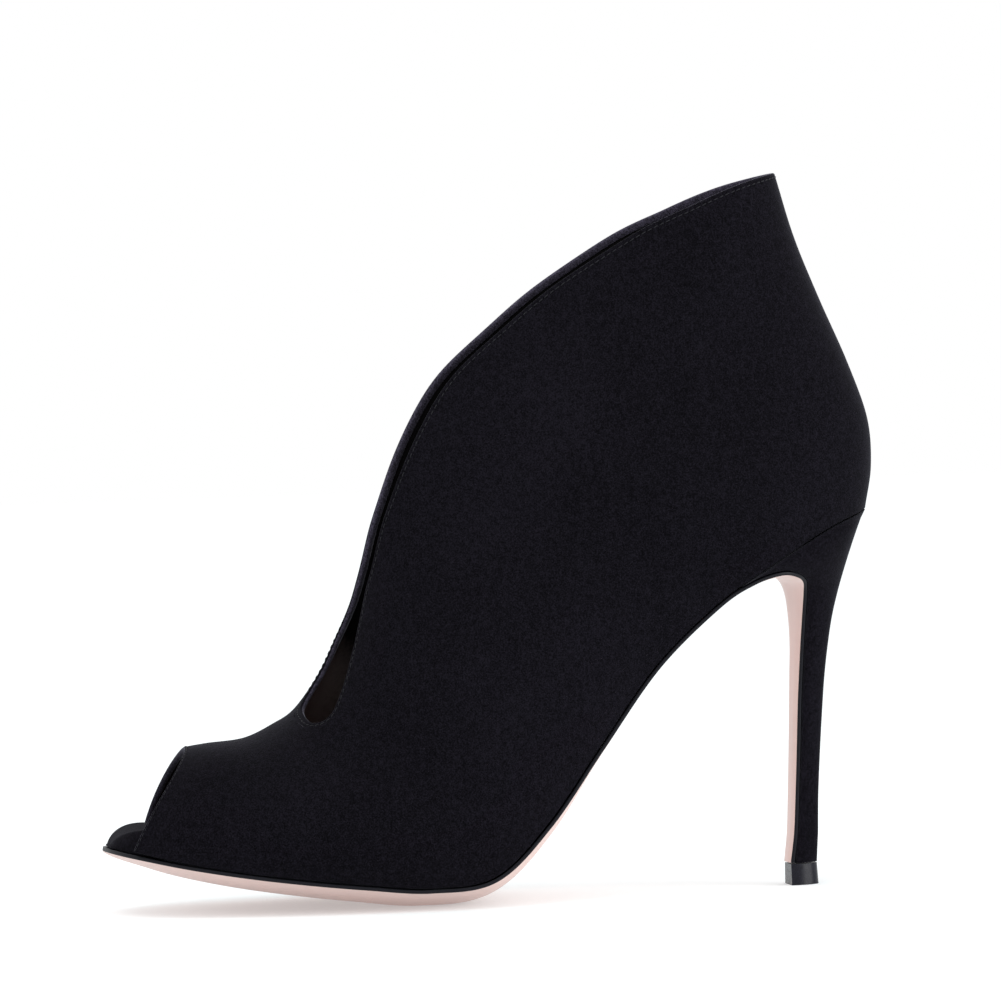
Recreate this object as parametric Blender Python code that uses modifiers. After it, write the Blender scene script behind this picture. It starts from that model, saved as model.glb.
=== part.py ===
"""A peep toe ankle boot for the left foot: a V-cut suede upper on a slim high heel.

Metres, +Z up. The toe points along -Y, the outer side faces +X, and the origin is the
centre of the heel tip's underside, on the floor.
"""

from collections import namedtuple
from math import asin, cos, hypot, pi, radians, sin, sqrt

import bmesh
import bpy

# Driving sizes of the last.
TOE_REACH = 0.1976  # heel tip centre to the front of the sole
BACK_REACH = 0.0208  # heel tip centre to the back of the seat
HEEL_HEIGHT = 0.1055  # floor to the seam at the back of the heel
SHAFT_RISE = 0.0955  # that seam to the collar's back peak
BALL_WIDTH = 0.0720  # the sole across its widest place
ANKLE_WIDTH = 0.0600  # the upper across the heel, outside
THROAT_HEIGHT = 0.0545  # floor to the lowest point of the throat, outside
TOE_SPRING = 0.0173  # floor to the sole's top edge at the toe opening
TOE_ROUND = 0.0275  # length of the rounded end of the toe
TOE_TURN = 0.0080  # how far the toe lies toward the inner side of the foot

# Walls and layers.
WALL = 0.0016
SOLE_EDGE = 0.0010
SOLE_MIDDLE = 0.0020  # what the sole gains in thickness from its edge to its middle
BREAST_MIDDLE = 0.0007  # the same down the front of the heel
BREAST_TURN = 4.0  # over how many stations the sole thins there
PLATFORM = 0.0078
INSOLE = 0.0020
GAP = 0.0003

# The heel and its tip.
TIP_HEIGHT = 0.0060
TIP_DEPTH = 0.0086
TIP_WIDTH = 0.0090
HEEL_CUP = 0.0025  # how deep the seat is dished

DISH_START = 0.3  # the share of the seat that lies ahead of the dish
FLAT_MIDDLE = 0.28  # the share of the sole's width that is flat underneath
BELLY_POWER = 1.8  # how roundly the sole rises from there to its edge
LIFT_START = 4  # the row of the heel from which the rings take the seam's curve

SIDE_ROOM = 0.0009  # between the upper's inner face and what lies inside it
PLATFORM_CORNER = 0.0030
NOSE_BACK = 0.0012  # from the sole's front to the platform's rounded nose
NOSE_LENGTH = 0.0130
NOSE_START = -0.62  # the station of the nose's first row
PLATFORM_END = 8.0  # the station where the platform has thinned out
WAIST_LENGTH = 3.0  # over how many stations it thins
INSOLE_FRONT = 0.7  # the station where the insole starts
INSOLE_REACH = 0.97  # how far round the seat the insole's last row lies
LEAST = 0.0006  # the thinnest that a layer gets
LEAST_EDGE = 0.0004  # the thinnest at a rounded corner
LEAST_NOSE = 0.004  # the half width of the sole's first row, as a share of the one behind the nose
WIDEST_START = 0.999  # the greatest share of a section's half width at its lower edge
TIP_TAPER = 0.0003

# Mesh divisions.
COLUMNS = 54
TOE_COLUMNS = 9
RINGS = 11
ACROSS = 10
NOSE_ROWS = 5
HEEL_STEPS = 2  # rows for each station down the front of the heel
PLATFORM_NOSE = 5
PLATFORM_ROWS = 14
WAIST_ROWS = 4
INSOLE_HEEL_ROWS = 6
SEAT_ACROSS = 6

THROAT = 4.0  # the station where the throat starts
THROAT_LEAN = 0.084  # how far its middle lies to the outer side, as a share of a half turn
LEAN_END = 8.0  # the station from which the opening is even on both sides
LEAN_FADE = 0.85  # the power with which the lean fades on the way there
WEDGE = 10.0  # the station where the heel's cover starts between sole and upper
WEDGE_FRONT = 10.4  # the station of the cover's front edge
TOE_SLANT = 0.52  # how many stations the toe opening's edge lies further back on the far side
BACK_SEAM = 14.0  # the station where the heel's seam meets the centre of the back

# The sole's top edge on both sides, station by station. Lengths are shares: y of the reach
# toward the toe, spring of the toe spring, heel of the heel height, half widths of half the
# ball width, bulge of the ball width (how much lower the middle of the sole lies).
Edge = namedtuple("Edge", "y spring heel near far bulge")
BOTTOM = [
    Edge(-0.9620, 1.000, 0.000, 0.540, 0.520, 0.026),
    Edge(-0.9010, 0.855, 0.000, 0.775, 0.745, 0.045),
    Edge(-0.8250, 0.700, 0.000, 0.905, 0.860, 0.057),
    Edge(-0.7440, 0.565, 0.000, 0.985, 0.930, 0.064),
    Edge(-0.6580, 0.445, 0.000, 1.025, 0.965, 0.069),
    Edge(-0.5670, 0.352, 0.000, 1.030, 0.945, 0.073),
    Edge(-0.4760, 0.200, 0.046, 0.985, 0.860, 0.072),
    Edge(-0.3950, 0.000, 0.212, 0.880, 0.755, 0.062),
    Edge(-0.3140, 0.000, 0.406, 0.770, 0.680, 0.036),
    Edge(-0.2280, 0.000, 0.612, 0.705, 0.645, 0.024),
    Edge(-0.1370, 0.000, 0.766, 0.690, 0.660, 0.020),
]

# From the arch the sole turns down the front of the heel, and ends on the heel tip.
ARCH_AND_BREAST = [
    Edge(-0.0845, 0.000, 0.8240, 0.680, 0.670, 0.018),
    Edge(-0.0430, 0.000, 0.8455, 0.645, 0.645, 0.016),
    Edge(-0.0170, 0.000, 0.8390, 0.580, 0.580, 0.013),
    Edge(-0.0012, 0.000, 0.8190, 0.480, 0.480, 0.010),
    Edge(0.0042, 0.000, 0.7820, 0.360, 0.360, 0.008),
    Edge(0.0051, 0.000, 0.7200, 0.267, 0.267, 0.006),
    Edge(0.0040, 0.000, 0.6450, 0.203, 0.203, 0.004),
    Edge(0.0013, 0.000, 0.5600, 0.180, 0.180, 0.003),
    Edge(-0.0010, 0.000, 0.4830, 0.163, 0.163, 0.003),
    Edge(-0.0045, 0.000, 0.3500, 0.153, 0.153, 0.003),
    Edge(-0.0078, 0.000, 0.2370, 0.144, 0.144, 0.003),
    Edge(-0.0111, 0.000, 0.1400, 0.135, 0.135, 0.003),
]

# The seam of the heel's cover, from the wedge to the centre of the back. Here y is a share of
# the back reach, and the half widths are of half the ankle width.
Seam = namedtuple("Seam", "y heel near far")
SEAM = [
    Seam(-0.4700, 0.872, 0.865, 0.850),
    Seam(0.2900, 0.953, 0.685, 0.675),
    Seam(0.8100, 0.990, 0.400, 0.395),
    Seam(1.0000, 1.000, 0.000, 0.000),
]

# The centre of the back above the seam: y of the back reach, z of the shaft rise.
BACK = [
    (1.000, 0.000),
    (1.100, 0.125),
    (1.060, 0.270),
    (0.815, 0.435),
    (0.450, 0.625),
    (0.130, 0.810),
    (-0.110, 1.000),
]

# The ridge of the vamp and instep, which is open above the throat. Every station has one row:
# y of the toe reach, z of the throat height up to the throat and of the way from there to the
# peak beyond it, greatest half widths (near and far side), the widest place's share of the
# section's depth, the centre line's turn toward the inner side and the ridge's further way
# there as shares of the toe's turn, and the section's forward bow as a share of the round toe.
Section = namedtuple("Section", "y z near far widest turn peak bow")
FORE = [
    Section(-0.8930, 0.835, 0.590, 0.570, 0.50, 0.92, 0.00, 0.095),
    Section(-0.8500, 0.857, 0.825, 0.790, 0.50, 0.78, 0.00, 0.045),
    Section(-0.7950, 0.877, 0.965, 0.915, 0.47, 0.62, 0.12, 0.010),
    Section(-0.7520, 0.943, 1.060, 1.000, 0.42, 0.48, 0.35, 0.000),
    Section(-0.7190, 1.018, 1.105, 1.045, 0.36, 0.42, 0.60, 0.000),
]
REAR = [
    Section(-0.6845, 0.071, 1.345, 1.260, 0.34, 0.32, 0.54, 0.000),
    Section(-0.6605, 0.142, 1.300, 1.190, 0.35, 0.20, 0.36, 0.000),
    Section(-0.6450, 0.204, 1.225, 1.115, 0.37, 0.10, 0.22, 0.000),
    Section(-0.6375, 0.260, 1.145, 1.045, 0.39, 0.04, 0.13, 0.000),
    Section(-0.6305, 0.314, 1.080, 1.005, 0.42, 0.00, 0.06, 0.000),
    Section(-0.6268, 0.362, 1.035, 0.995, 0.41, 0.00, 0.00, 0.000),
    Section(-0.6218, 0.406, 1.015, 1.000, 0.40, 0.00, 0.00, 0.000),
    Section(-0.6165, 0.444, 1.010, 1.000, 0.40, 0.00, 0.00, 0.000),
    Section(-0.6112, 0.481, 1.000, 1.000, 0.40, 0.00, 0.00, 0.000),
    Section(-0.6040, 0.519, 0.985, 0.985, 0.40, 0.00, 0.00, 0.000),
    Section(-0.5848, 0.580, 0.955, 0.955, 0.40, 0.00, 0.00, 0.000),
    Section(-0.5575, 0.651, 0.910, 0.910, 0.40, 0.00, 0.00, 0.000),
    Section(-0.5040, 0.729, 0.850, 0.850, 0.40, 0.00, 0.00, 0.000),
    Section(-0.4505, 0.802, 0.800, 0.800, 0.40, 0.00, 0.00, 0.000),
    Section(-0.4225, 0.890, 0.710, 0.710, 0.40, 0.00, 0.00, 0.000),
    Section(-0.4050, 1.000, 0.640, 0.640, 0.40, 0.00, 0.00, 0.000),
]

# The collar's edge from the bottom of the throat to the back peak: the station, and how far
# round the section the wall reaches, where 1 is the ridge and 0 the centre of the back.
COLLAR = [
    (4.00, 1.000),
    (4.02, 0.974),
    (4.10, 0.951),
    (4.25, 0.934),
    (4.45, 0.921),
    (4.70, 0.917),
    (5.00, 0.921),
    (5.50, 0.925),
    (6.00, 0.924),
    (7.00, 0.916),
    (8.50, 0.897),
    (10.0, 0.891),
    (11.0, 0.885),
    (12.0, 0.877),
    (13.0, 0.868),
    (14.0, 0.859),
    (15.0, 0.850),
    (16.0, 0.832),
    (17.0, 0.800),
    (18.0, 0.755),
    (19.0, 0.617),
    (19.5, 0.478),
    (19.8, 0.345),
    (19.95, 0.190),
    (20.0, 0.000),
]

# The heel from its tip up to the seam: the sole's station in front of each ring, then the back
# line, with y of the back reach and z of the heel height.
HEEL = [
    (22, 0.222, 0.140),
    (21, 0.240, 0.237),
    (20, 0.280, 0.350),
    (19, 0.328, 0.460),
    (18, 0.375, 0.555),
    (17, 0.435, 0.640),
    (16, 0.500, 0.715),
    (15, 0.587, 0.785),
    (14, 0.683, 0.850),
    (13, 0.780, 0.905),
    (12, 0.868, 0.948),
    (11, 0.942, 0.980),
]


def smooth(rows, t):
    """Read a table at the fractional row t, along a curve through all of its rows."""
    last = len(rows) - 1
    k = min(max(int(t), 0), last - 1)
    f = t - k
    before = rows[max(k - 1, 0)]
    after = rows[min(k + 2, last)]
    result = []
    for p0, p1, p2, p3 in zip(before, rows[k], rows[k + 1], after):
        slope_1 = (p2 - p0) / (2 if k > 0 else 1)
        slope_2 = (p3 - p1) / (2 if k + 2 <= last else 1)
        rise = p2 - p1
        value = p1 + slope_1 * f
        value += (3 * rise - 2 * slope_1 - slope_2) * f**2
        value += (slope_1 + slope_2 - 2 * rise) * f**3
        result.append(value)
    return result


def edge_rows():
    """The sole's top edge in metres: y, z, near and far half widths, bulge."""
    rows = []
    for row in BOTTOM + ARCH_AND_BREAST:
        z = row.spring * TOE_SPRING + row.heel * HEEL_HEIGHT
        half = BALL_WIDTH / 2
        rows.append((row.y * TOE_REACH, z, row.near * half, row.far * half, row.bulge * BALL_WIDTH))
    front = -TIP_DEPTH / 2 + SOLE_EDGE
    half = TIP_WIDTH / 2 - GAP / 2
    rows.append((front, TIP_HEIGHT + GAP, half, half, rows[-1][4]))
    return rows


EDGE = edge_rows()


def sole_edge(t):
    """The sole's top edge at station t: point, upward normal, half widths and bulge."""
    y, z, near, far, bulge = smooth(EDGE, t)
    step = 0.02
    y_0, z_0 = smooth(EDGE, max(t - step, 0))[:2]
    y_1, z_1 = smooth(EDGE, min(t + step, len(EDGE) - 1))[:2]
    run = hypot(y_1 - y_0, z_1 - z_0)
    normal = (-(z_1 - z_0) / run, (y_1 - y_0) / run)
    return (y, z), normal, (near, far), bulge


def feather_rows():
    """The upper's lower edge in metres: y, z, near and far half widths."""
    rows = []
    for t in range(int(WEDGE) + 1):
        (y, z), normal, (near, far), _ = sole_edge(t)
        rows.append((y + GAP * normal[0], z + GAP * normal[1], near, far))
    half = ANKLE_WIDTH / 2
    for row in SEAM:
        y = row.y * BACK_REACH
        rows.append((y, row.heel * HEEL_HEIGHT + GAP, row.near * half, row.far * half))
    y, z, near, far = rows[-2]
    rows.append((y, z, -near, -far))
    return rows


FEATHER = feather_rows()


def feather(t):
    """The upper's lower edge at station t: y, z, near and far half widths."""
    if t < WEDGE:
        (y, z), normal, (near, far), _ = sole_edge(t)
        return y + GAP * normal[0], z + GAP * normal[1], near, far
    return smooth(FEATHER, t)


def back(t):
    """The centre of the back at station t, from the seam up."""
    y, z = smooth(BACK, t - BACK_SEAM)
    return y * BACK_REACH, HEEL_HEIGHT + GAP + z * SHAFT_RISE


def section_rows():
    """Every station's section in metres: y, z, near, far, widest, centre, peak and bow."""
    rows = []
    peak = HEEL_HEIGHT + SHAFT_RISE
    for row in FORE:
        half = BALL_WIDTH / 2
        z = row.z * THROAT_HEIGHT
        centre = -row.turn * TOE_TURN
        rows.append((row.y * TOE_REACH, z, row.near * half, row.far * half, row.widest,
                     centre, row.peak * TOE_TURN, row.bow * TOE_ROUND))
    for row in REAR:
        half = ANKLE_WIDTH / 2
        z = THROAT_HEIGHT + row.z * (peak - THROAT_HEIGHT)
        centre = -row.turn * TOE_TURN
        rows.append((row.y * TOE_REACH, z, row.near * half, row.far * half, row.widest,
                     centre, row.peak * TOE_TURN, row.bow * TOE_ROUND))
    return rows


SECTIONS = section_rows()


def depth_share(angle, widest):
    """How deep in its section a point lies, as a share, at an angle from the bottom or back."""
    return (1 - cos(angle)) / 2 - (0.5 - widest) * sin(angle) ** 2


def section(t, side):
    """The full section on one side: ridge, back, half width, widest, centre, peak, bow, start.

    Below the heel's seam the section is cut off by its lower edge, and its back is where it
    would end without that cut."""
    y_r, z_r, near, far, widest, centre, peak, bow = smooth(SECTIONS, t)
    half = near if side > 0 else far
    if t >= BACK_SEAM:
        return (y_r, z_r), back(t), half, widest, centre, peak, bow, 0.0
    y_b, z_b, near_b, far_b = feather(t)
    start = asin(min(max((near_b if side > 0 else far_b) / half, 0), WIDEST_START))
    low = depth_share(start, widest)
    ratio = low / (1 - low)
    full_back = (y_b - (y_r - y_b) * ratio, z_b - (z_r - z_b) * ratio)
    return (y_r, z_r), full_back, half, widest, centre, peak, bow, start


def start_angle(t, side):
    """The angle at which the outer face starts at station t, on its lower edge or back."""
    return section(t, side)[-1]


def last_point(t, angle, side):
    """A point of the upper's outer face at station t. The ridge lies at the angle pi."""
    (y_r, z_r), (y_b, z_b), half, widest, centre, peak, bow, _ = section(t, side)
    share = depth_share(angle, widest)
    run = hypot(y_r - y_b, z_r - z_b)
    forward = bow * sin(pi * share)
    y = y_b + (y_r - y_b) * share - forward * (z_r - z_b) / run
    z = z_b + (z_r - z_b) * share + forward * (y_r - y_b) / run
    return centre + side * half * sin(angle) - peak * share**3, y, z


def lower_point(t, side):
    """The upper's lower edge at station t."""
    return last_point(t, start_angle(t, side), side)


def lean(t):
    """How far the opening's middle lies to the outer side at station t, as a share."""
    if t < THROAT:
        return THROAT_LEAN * (max(t, 0) / THROAT) ** 2
    behind = min((t - THROAT) / (LEAN_END - THROAT), 1)
    return THROAT_LEAN * (1 + cos(pi * behind**LEAN_FADE)) / 2


def opening_angle(t, turn, side):
    """The angle of the opening's edge, with turn 1 at its middle and 0 at the section's back."""
    return pi * (turn - side * lean(t))


def outer_point(t, angle, side):
    """A point of the outer face, also past the ridge, where the other side starts."""
    if angle > pi:
        return last_point(t, 2 * pi - angle, -side)
    return last_point(t, angle, side)


def collar_rows():
    """The collar's edge with its two ends continued by their mirror images."""
    first, second = COLLAR[:2]
    last, before = COLLAR[-1], COLLAR[-2]
    return [(second[0], 2 * first[1] - second[1])] + COLLAR + [(before[0], 2 * last[1] - before[1])]


def spaced(curve, first, last, count):
    """Parameters between first and last that lie evenly along a curve of points."""
    steps = 400
    grid = [first + (last - first) * i / steps for i in range(steps + 1)]
    points = [curve(g) for g in grid]
    lengths = [0.0]
    for p, q in zip(points, points[1:]):
        lengths.append(lengths[-1] + sqrt(sum((a - b) ** 2 for a, b in zip(p, q))))
    result = []
    k = 0
    for i in range(count + 1):
        want = lengths[-1] * i / count
        while k < steps - 1 and lengths[k + 1] < want:
            k += 1
        f = (want - lengths[k]) / (lengths[k + 1] - lengths[k])
        result.append(grid[k] + (grid[k + 1] - grid[k]) * f)
    return result


def lower_stations(first, side):
    """The stations along the upper's lower edge on one side."""
    toe = spaced(lambda t: lower_point(t, side), first, THROAT, TOE_COLUMNS)
    rest = spaced(lambda t: lower_point(t, side), THROAT, BACK_SEAM, COLUMNS - TOE_COLUMNS)
    return toe + rest[1:]


LOWER = lower_stations(0.0, 1)


def upper_columns(side):
    """Where each column of the upper starts and ends: the two stations and the two angles."""
    rows = collar_rows()

    def collar(k):
        return smooth(rows, k + 1)

    def collar_point(k):
        station, turn = collar(k)
        return outer_point(station, opening_angle(station, turn, 1), 1)

    lower = lower_stations(0.0 if side > 0 else TOE_SLANT, side)

    def middle(t):
        return outer_point(t, opening_angle(t, 1, 1), 1)

    columns = []
    for low, high in zip(lower, spaced(middle, TOE_SLANT / 2, THROAT, TOE_COLUMNS)):
        columns.append((low, high, start_angle(low, side), opening_angle(high, 1, side)))
    above = spaced(collar_point, 0, len(COLLAR) - 1, COLUMNS - TOE_COLUMNS)
    for low, k in zip(lower[TOE_COLUMNS + 1:], above[1:]):
        station, turn = collar(k)
        last = opening_angle(station, max(turn, 0.0), side)
        columns.append((low, station, start_angle(low, side), last))
    return columns


def add_mesh(name, vertices, faces):
    """A mesh object of this name, with its doubled vertices merged and its faces turned out."""
    mesh = bpy.data.meshes.new(name)
    mesh.from_pydata(vertices, [], faces)
    work = bmesh.new()
    work.from_mesh(mesh)
    bmesh.ops.remove_doubles(work, verts=work.verts, dist=0.00001)
    bmesh.ops.recalc_face_normals(work, faces=work.faces)
    work.to_mesh(mesh)
    work.free()
    mesh.shade_smooth()
    mesh.set_sharp_from_angle(angle=radians(40))
    obj = bpy.data.objects.new(name, mesh)
    boot.objects.link(obj)
    return obj


def ring_faces(rings):
    """Vertices and side faces of rings of equally many points."""
    count = len(rings[0])
    vertices = [point for ring in rings for point in ring]
    faces = []
    for i in range(len(rings) - 1):
        for k in range(count):
            m = (k + 1) % count
            a, b = i * count, (i + 1) * count
            faces.append((a + k, a + m, b + m, b + k))
    return vertices, faces


def loft(name, rings):
    """A closed solid through rings of equally many points."""
    vertices, faces = ring_faces(rings)
    count = len(rings[0])
    faces.append(tuple(range(count)))
    faces.append(tuple(range(len(vertices) - count, len(vertices))))
    return add_mesh(name, vertices, faces)


def make_upper():
    """One hollow shell, open at the collar, the throat, the toe and underneath."""
    vertices = []
    for side in (1, -1):
        columns = upper_columns(side)
        for low, high, first, last in columns:
            for i in range(RINGS + 1):
                v = i / RINGS
                angle = first + (last - first) * v
                vertices.append(outer_point(low + (high - low) * v, angle, side))
    faces = []
    size = len(columns) * (RINGS + 1)
    for half in (0, size):
        for c in range(len(columns) - 1):
            for i in range(RINGS):
                a = half + c * (RINGS + 1) + i
                b = a + RINGS + 1
                quad = (a, b, b + 1, a + 1)
                faces.append(quad if half else quad[::-1])
    upper = add_mesh("upper", vertices, faces)
    shell = upper.modifiers.new("wall", "SOLIDIFY")
    shell.thickness = WALL
    shell.offset = -1
    shell.use_quality_normals = True
    return upper


def sole_outline(t):
    """Edge point, normal, half widths and bulge of the sole, also ahead of station 0."""
    if t >= 0:
        return sole_edge(t)
    (y_0, z_0), normal, (near, far), bulge = sole_edge(0)
    y_c = -TOE_REACH + TOE_ROUND
    start = asin((y_c - y_0) / TOE_ROUND)
    angle = start + (pi / 2 - start) * -t
    y = y_c - TOE_ROUND * sin(angle)
    share = max(cos(angle) / cos(start), LEAST_NOSE)
    slope = -normal[0] / normal[1]
    z = z_0 + (y - y_0) * slope
    return (y, z), normal, (near * share, far * share), bulge * share


def centre_at(t):
    """The centre line's sideways place at station t."""
    if t < 0:
        y, _ = sole_outline(t)[0]
        y_0, _ = sole_outline(0)[0]
        slope = (centre_at(0.2) - centre_at(0)) / (sole_outline(0.2)[0][0] - y_0)
        return centre_at(0) + (y - y_0) * slope
    if t > len(SECTIONS) - 1:
        return 0.0
    return smooth(SECTIONS, t)[5]


def across(near, far, count=ACROSS):
    """Shares from the far edge (-1) to the near edge (1), with the distance from the middle."""
    for i in range(count + 1):
        share = -cos(pi * i / count)
        yield share, share * (near if share > 0 else far)


def belly(share):
    """How far down the sole's middle reaches: 1 in the middle, 0 at the edge."""
    out = max(abs(share) - FLAT_MIDDLE, 0) / (1 - FLAT_MIDDLE)
    return 1 - out**BELLY_POWER


def sole_ring(t):
    """The sole's section at station t, underside first, then the top back across."""
    (y, z), normal, (near, far), bulge = sole_outline(t)
    centre = centre_at(t)
    down_heel = min(max((t - WEDGE) / BREAST_TURN, 0), 1)
    middle = SOLE_MIDDLE + (BREAST_MIDDLE - SOLE_MIDDLE) * down_heel
    middle = min(middle, max(bulge, BREAST_MIDDLE * down_heel))
    under, top = [], []
    for share, x in across(near, far):
        drop = belly(share)
        dish = max(bulge - middle, 0) * drop
        down = SOLE_EDGE + middle * drop + dish
        low = z - down * normal[1]
        under.append((centre + x, y - down * normal[0], max(low, 0.0)))
        top.append((centre + x, y - dish * normal[0], z - dish * normal[1]))
    return under + top[::-1]


def make_outsole():
    """The leather sole, from the toe round the arch and down the front of the heel."""
    ahead = [-1 + i / NOSE_ROWS for i in range(NOSE_ROWS)]
    under_foot = [t for t in LOWER if t < WEDGE]
    first, last = int(WEDGE) + 1, len(EDGE) - 1
    steps = (last - first) * HEEL_STEPS
    down = [WEDGE, WEDGE_FRONT] + [first + i / HEEL_STEPS for i in range(steps + 1)]
    return loft("outsole", [sole_ring(t) for t in ahead + under_foot + down])


def seat_rim(t):
    """The seat's rim at station t, from the wedge's front to the centre of the back."""
    y, z, near, far = feather(t)
    return y, z - GAP, near, far


def seat_at(y):
    """Where the seat's rim crosses y: its height and half widths."""
    low, high = WEDGE_FRONT, BACK_SEAM
    for _ in range(24):
        middle = (low + high) / 2
        if seat_rim(middle)[0] < y:
            low = middle
        else:
            high = middle
    return seat_rim(low)[1:]


def seat_shape():
    """The rim as shares: along the chord, above the chord, and across on both sides."""
    y_0, z_0, near_0, far_0 = seat_rim(WEDGE_FRONT)
    y_1, z_1, _, _ = seat_rim(BACK_SEAM)
    run_y, run_z = y_1 - y_0, z_1 - z_0
    chord = hypot(run_y, run_z)
    shape = []
    for t in [WEDGE_FRONT] + [t for t in LOWER if t > WEDGE_FRONT]:
        y, z, near, far = seat_rim(t)
        along = ((y - y_0) * run_y + (z - z_0) * run_z) / chord**2
        above = ((z - z_0) * run_y - (y - y_0) * run_z) / chord**2
        shape.append((along, above, near / near_0, far / far_0))
    return shape


def seat_dish(along, across_share):
    """How far the seat lies below its rim."""
    behind = max(along - DISH_START, 0) / (1 - DISH_START)
    return HEEL_CUP * sin(pi * min(behind, 1)) * (1 - across_share**2)


def ring_around(front, back_point, near, far, shape, lift=1.0):
    """A D-shaped ring between a straight front edge and a round back."""
    (y_0, z_0), (y_1, z_1) = front, back_point
    run_y, run_z = y_1 - y_0, z_1 - z_0
    sides = []
    for half, column in ((near, 2), (far, 3)):
        points = []
        for row in shape:
            y = y_0 + run_y * row[0] - run_z * row[1] * lift
            z = z_0 + run_z * row[0] + run_y * row[1] * lift
            x = half * row[column]
            points.append((x if column == 2 else -x, y, z))
        sides.append(points)
    return sides[0] + sides[1][-2::-1]


def make_heel():
    """The slim covered heel, its wedge under the arch and its dished seat."""
    shape = seat_shape()
    end = len(EDGE) - 1
    y, z, near, far, _ = EDGE[end]
    bottom = (y + GAP, z)
    rings = [ring_around(bottom, (TIP_DEPTH / 2 - GAP, z), near, far, shape, 0.0)]
    last = len(HEEL) - 1
    for i in range(last * HEEL_STEPS + 1):
        row = i / HEEL_STEPS
        station, y_share, z_share = smooth(HEEL, row)
        (y, z), normal, (near, far), _ = sole_edge(station)
        front = (y + GAP * normal[0], z + GAP * normal[1])
        back_point = (y_share * BACK_REACH, z_share * HEEL_HEIGHT)
        lift = max(row - LIFT_START, 0) / (len(HEEL) - LIFT_START)
        rings.append(ring_around(front, back_point, near, far, shape, lift))
    y_0, z_0, near, far = seat_rim(WEDGE_FRONT)
    y_1, z_1, _, _ = seat_rim(BACK_SEAM)
    rim = ring_around((y_0, z_0), (y_1, z_1), near, far, shape)
    rings.append(rim)
    vertices, faces = ring_faces(rings)
    faces.append(tuple(range(len(rim))))
    seat_faces(vertices, faces, rim)
    return add_mesh("heel", vertices, faces)


def seat_faces(vertices, faces, rim):
    """Rows of faces across the seat, from the rim's near side to its far side."""
    count = len(rim)
    first = len(vertices) - count
    rows = []
    for k in range(1, count // 2):
        near, far = first + k, first + count - 1 - k
        row = [near]
        x_0, y_0, z_0 = vertices[near]
        x_1, y_1, z_1 = vertices[far]
        along = (y_0 - rim[0][1]) / (rim[count // 2][1] - rim[0][1])
        for i in range(1, SEAT_ACROSS):
            f = i / SEAT_ACROSS
            dish = seat_dish(along, 2 * f - 1)
            vertices.append((x_0 + (x_1 - x_0) * f, y_0, z_0 - dish))
            row.append(len(vertices) - 1)
        rows.append(row + [far])
    faces.append(tuple([first] + rows[0] + [first + count - 1]))
    for one, two in zip(rows, rows[1:]):
        for i in range(SEAT_ACROSS):
            faces.append((one[i], two[i], two[i + 1], one[i + 1]))
    last = rows[-1]
    middle = first + count // 2
    for i in range(SEAT_ACROSS):
        faces.append((last[i], middle, last[i + 1]))


def make_heel_tip():
    """The glossy D-shaped top piece that stands on the floor."""
    shape = seat_shape()
    rings = []
    for z, taper in ((0.0, 0.0), (TIP_HEIGHT, TIP_TAPER)):
        half = TIP_WIDTH / 2 - taper
        front = (-TIP_DEPTH / 2, z)
        rings.append(ring_around(front, (TIP_DEPTH / 2 - taper, z), half, half, shape, 0.0))
    return loft("heel_tip", rings)


def inner_half(half):
    """The inside's half width beside a lower edge of this half width."""
    return max(half - WALL - SIDE_ROOM, 0.0)


def sheet_ring(t, lift, thickness, corner):
    """The section of a flat inner layer at station t: its underside, then its top."""
    (y, z), normal, (near, far), bulge = sole_outline(t)
    dish_middle = max(bulge - SOLE_MIDDLE, 0)
    centre = centre_at(t)
    under, top = [], []
    for share, x in across(inner_half(near), inner_half(far)):
        dish = dish_middle * belly(share) if lift == 0 else 0.0
        edge = (near if share > 0 else far) * (1 - abs(share))
        rounding = 0.0
        if edge < corner:
            rounding = corner - sqrt(corner**2 - (corner - edge) ** 2)
        low = GAP + lift - dish
        high = GAP + lift + max(thickness - rounding, LEAST_EDGE)
        under.append((centre + x, y + low * normal[0], z + low * normal[1]))
        top.append((centre + x, y + high * normal[0], z + high * normal[1]))
    return under + top[::-1]


def platform_height(t):
    """How thick the platform is at station t: rounded at its nose, gone at the waist."""
    start = PLATFORM_END - WAIST_LENGTH
    if t <= start:
        behind = (sole_outline(t)[0][0] + TOE_REACH - NOSE_BACK) / NOSE_LENGTH
        height = PLATFORM * sqrt(1 - (1 - min(max(behind, 0), 1)) ** 2)
        return max(height, LEAST)
    share = (t - start) / WAIST_LENGTH
    return LEAST + (PLATFORM - LEAST) * (1 + cos(pi * share)) / 2


def platform_stations():
    """The stations of the rows that the platform and the insole share."""
    return [PLATFORM_END * i / PLATFORM_ROWS for i in range(PLATFORM_ROWS + 1)]


def make_platform():
    """The suede-covered platform inside, whose rounded front shows in the toe opening."""
    nose = [NOSE_START * (1 - i / PLATFORM_NOSE) for i in range(PLATFORM_NOSE)]
    rings = []
    for t in nose + platform_stations():
        rings.append(sheet_ring(t, 0.0, platform_height(t), PLATFORM_CORNER))
    return loft("platform", rings)


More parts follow.
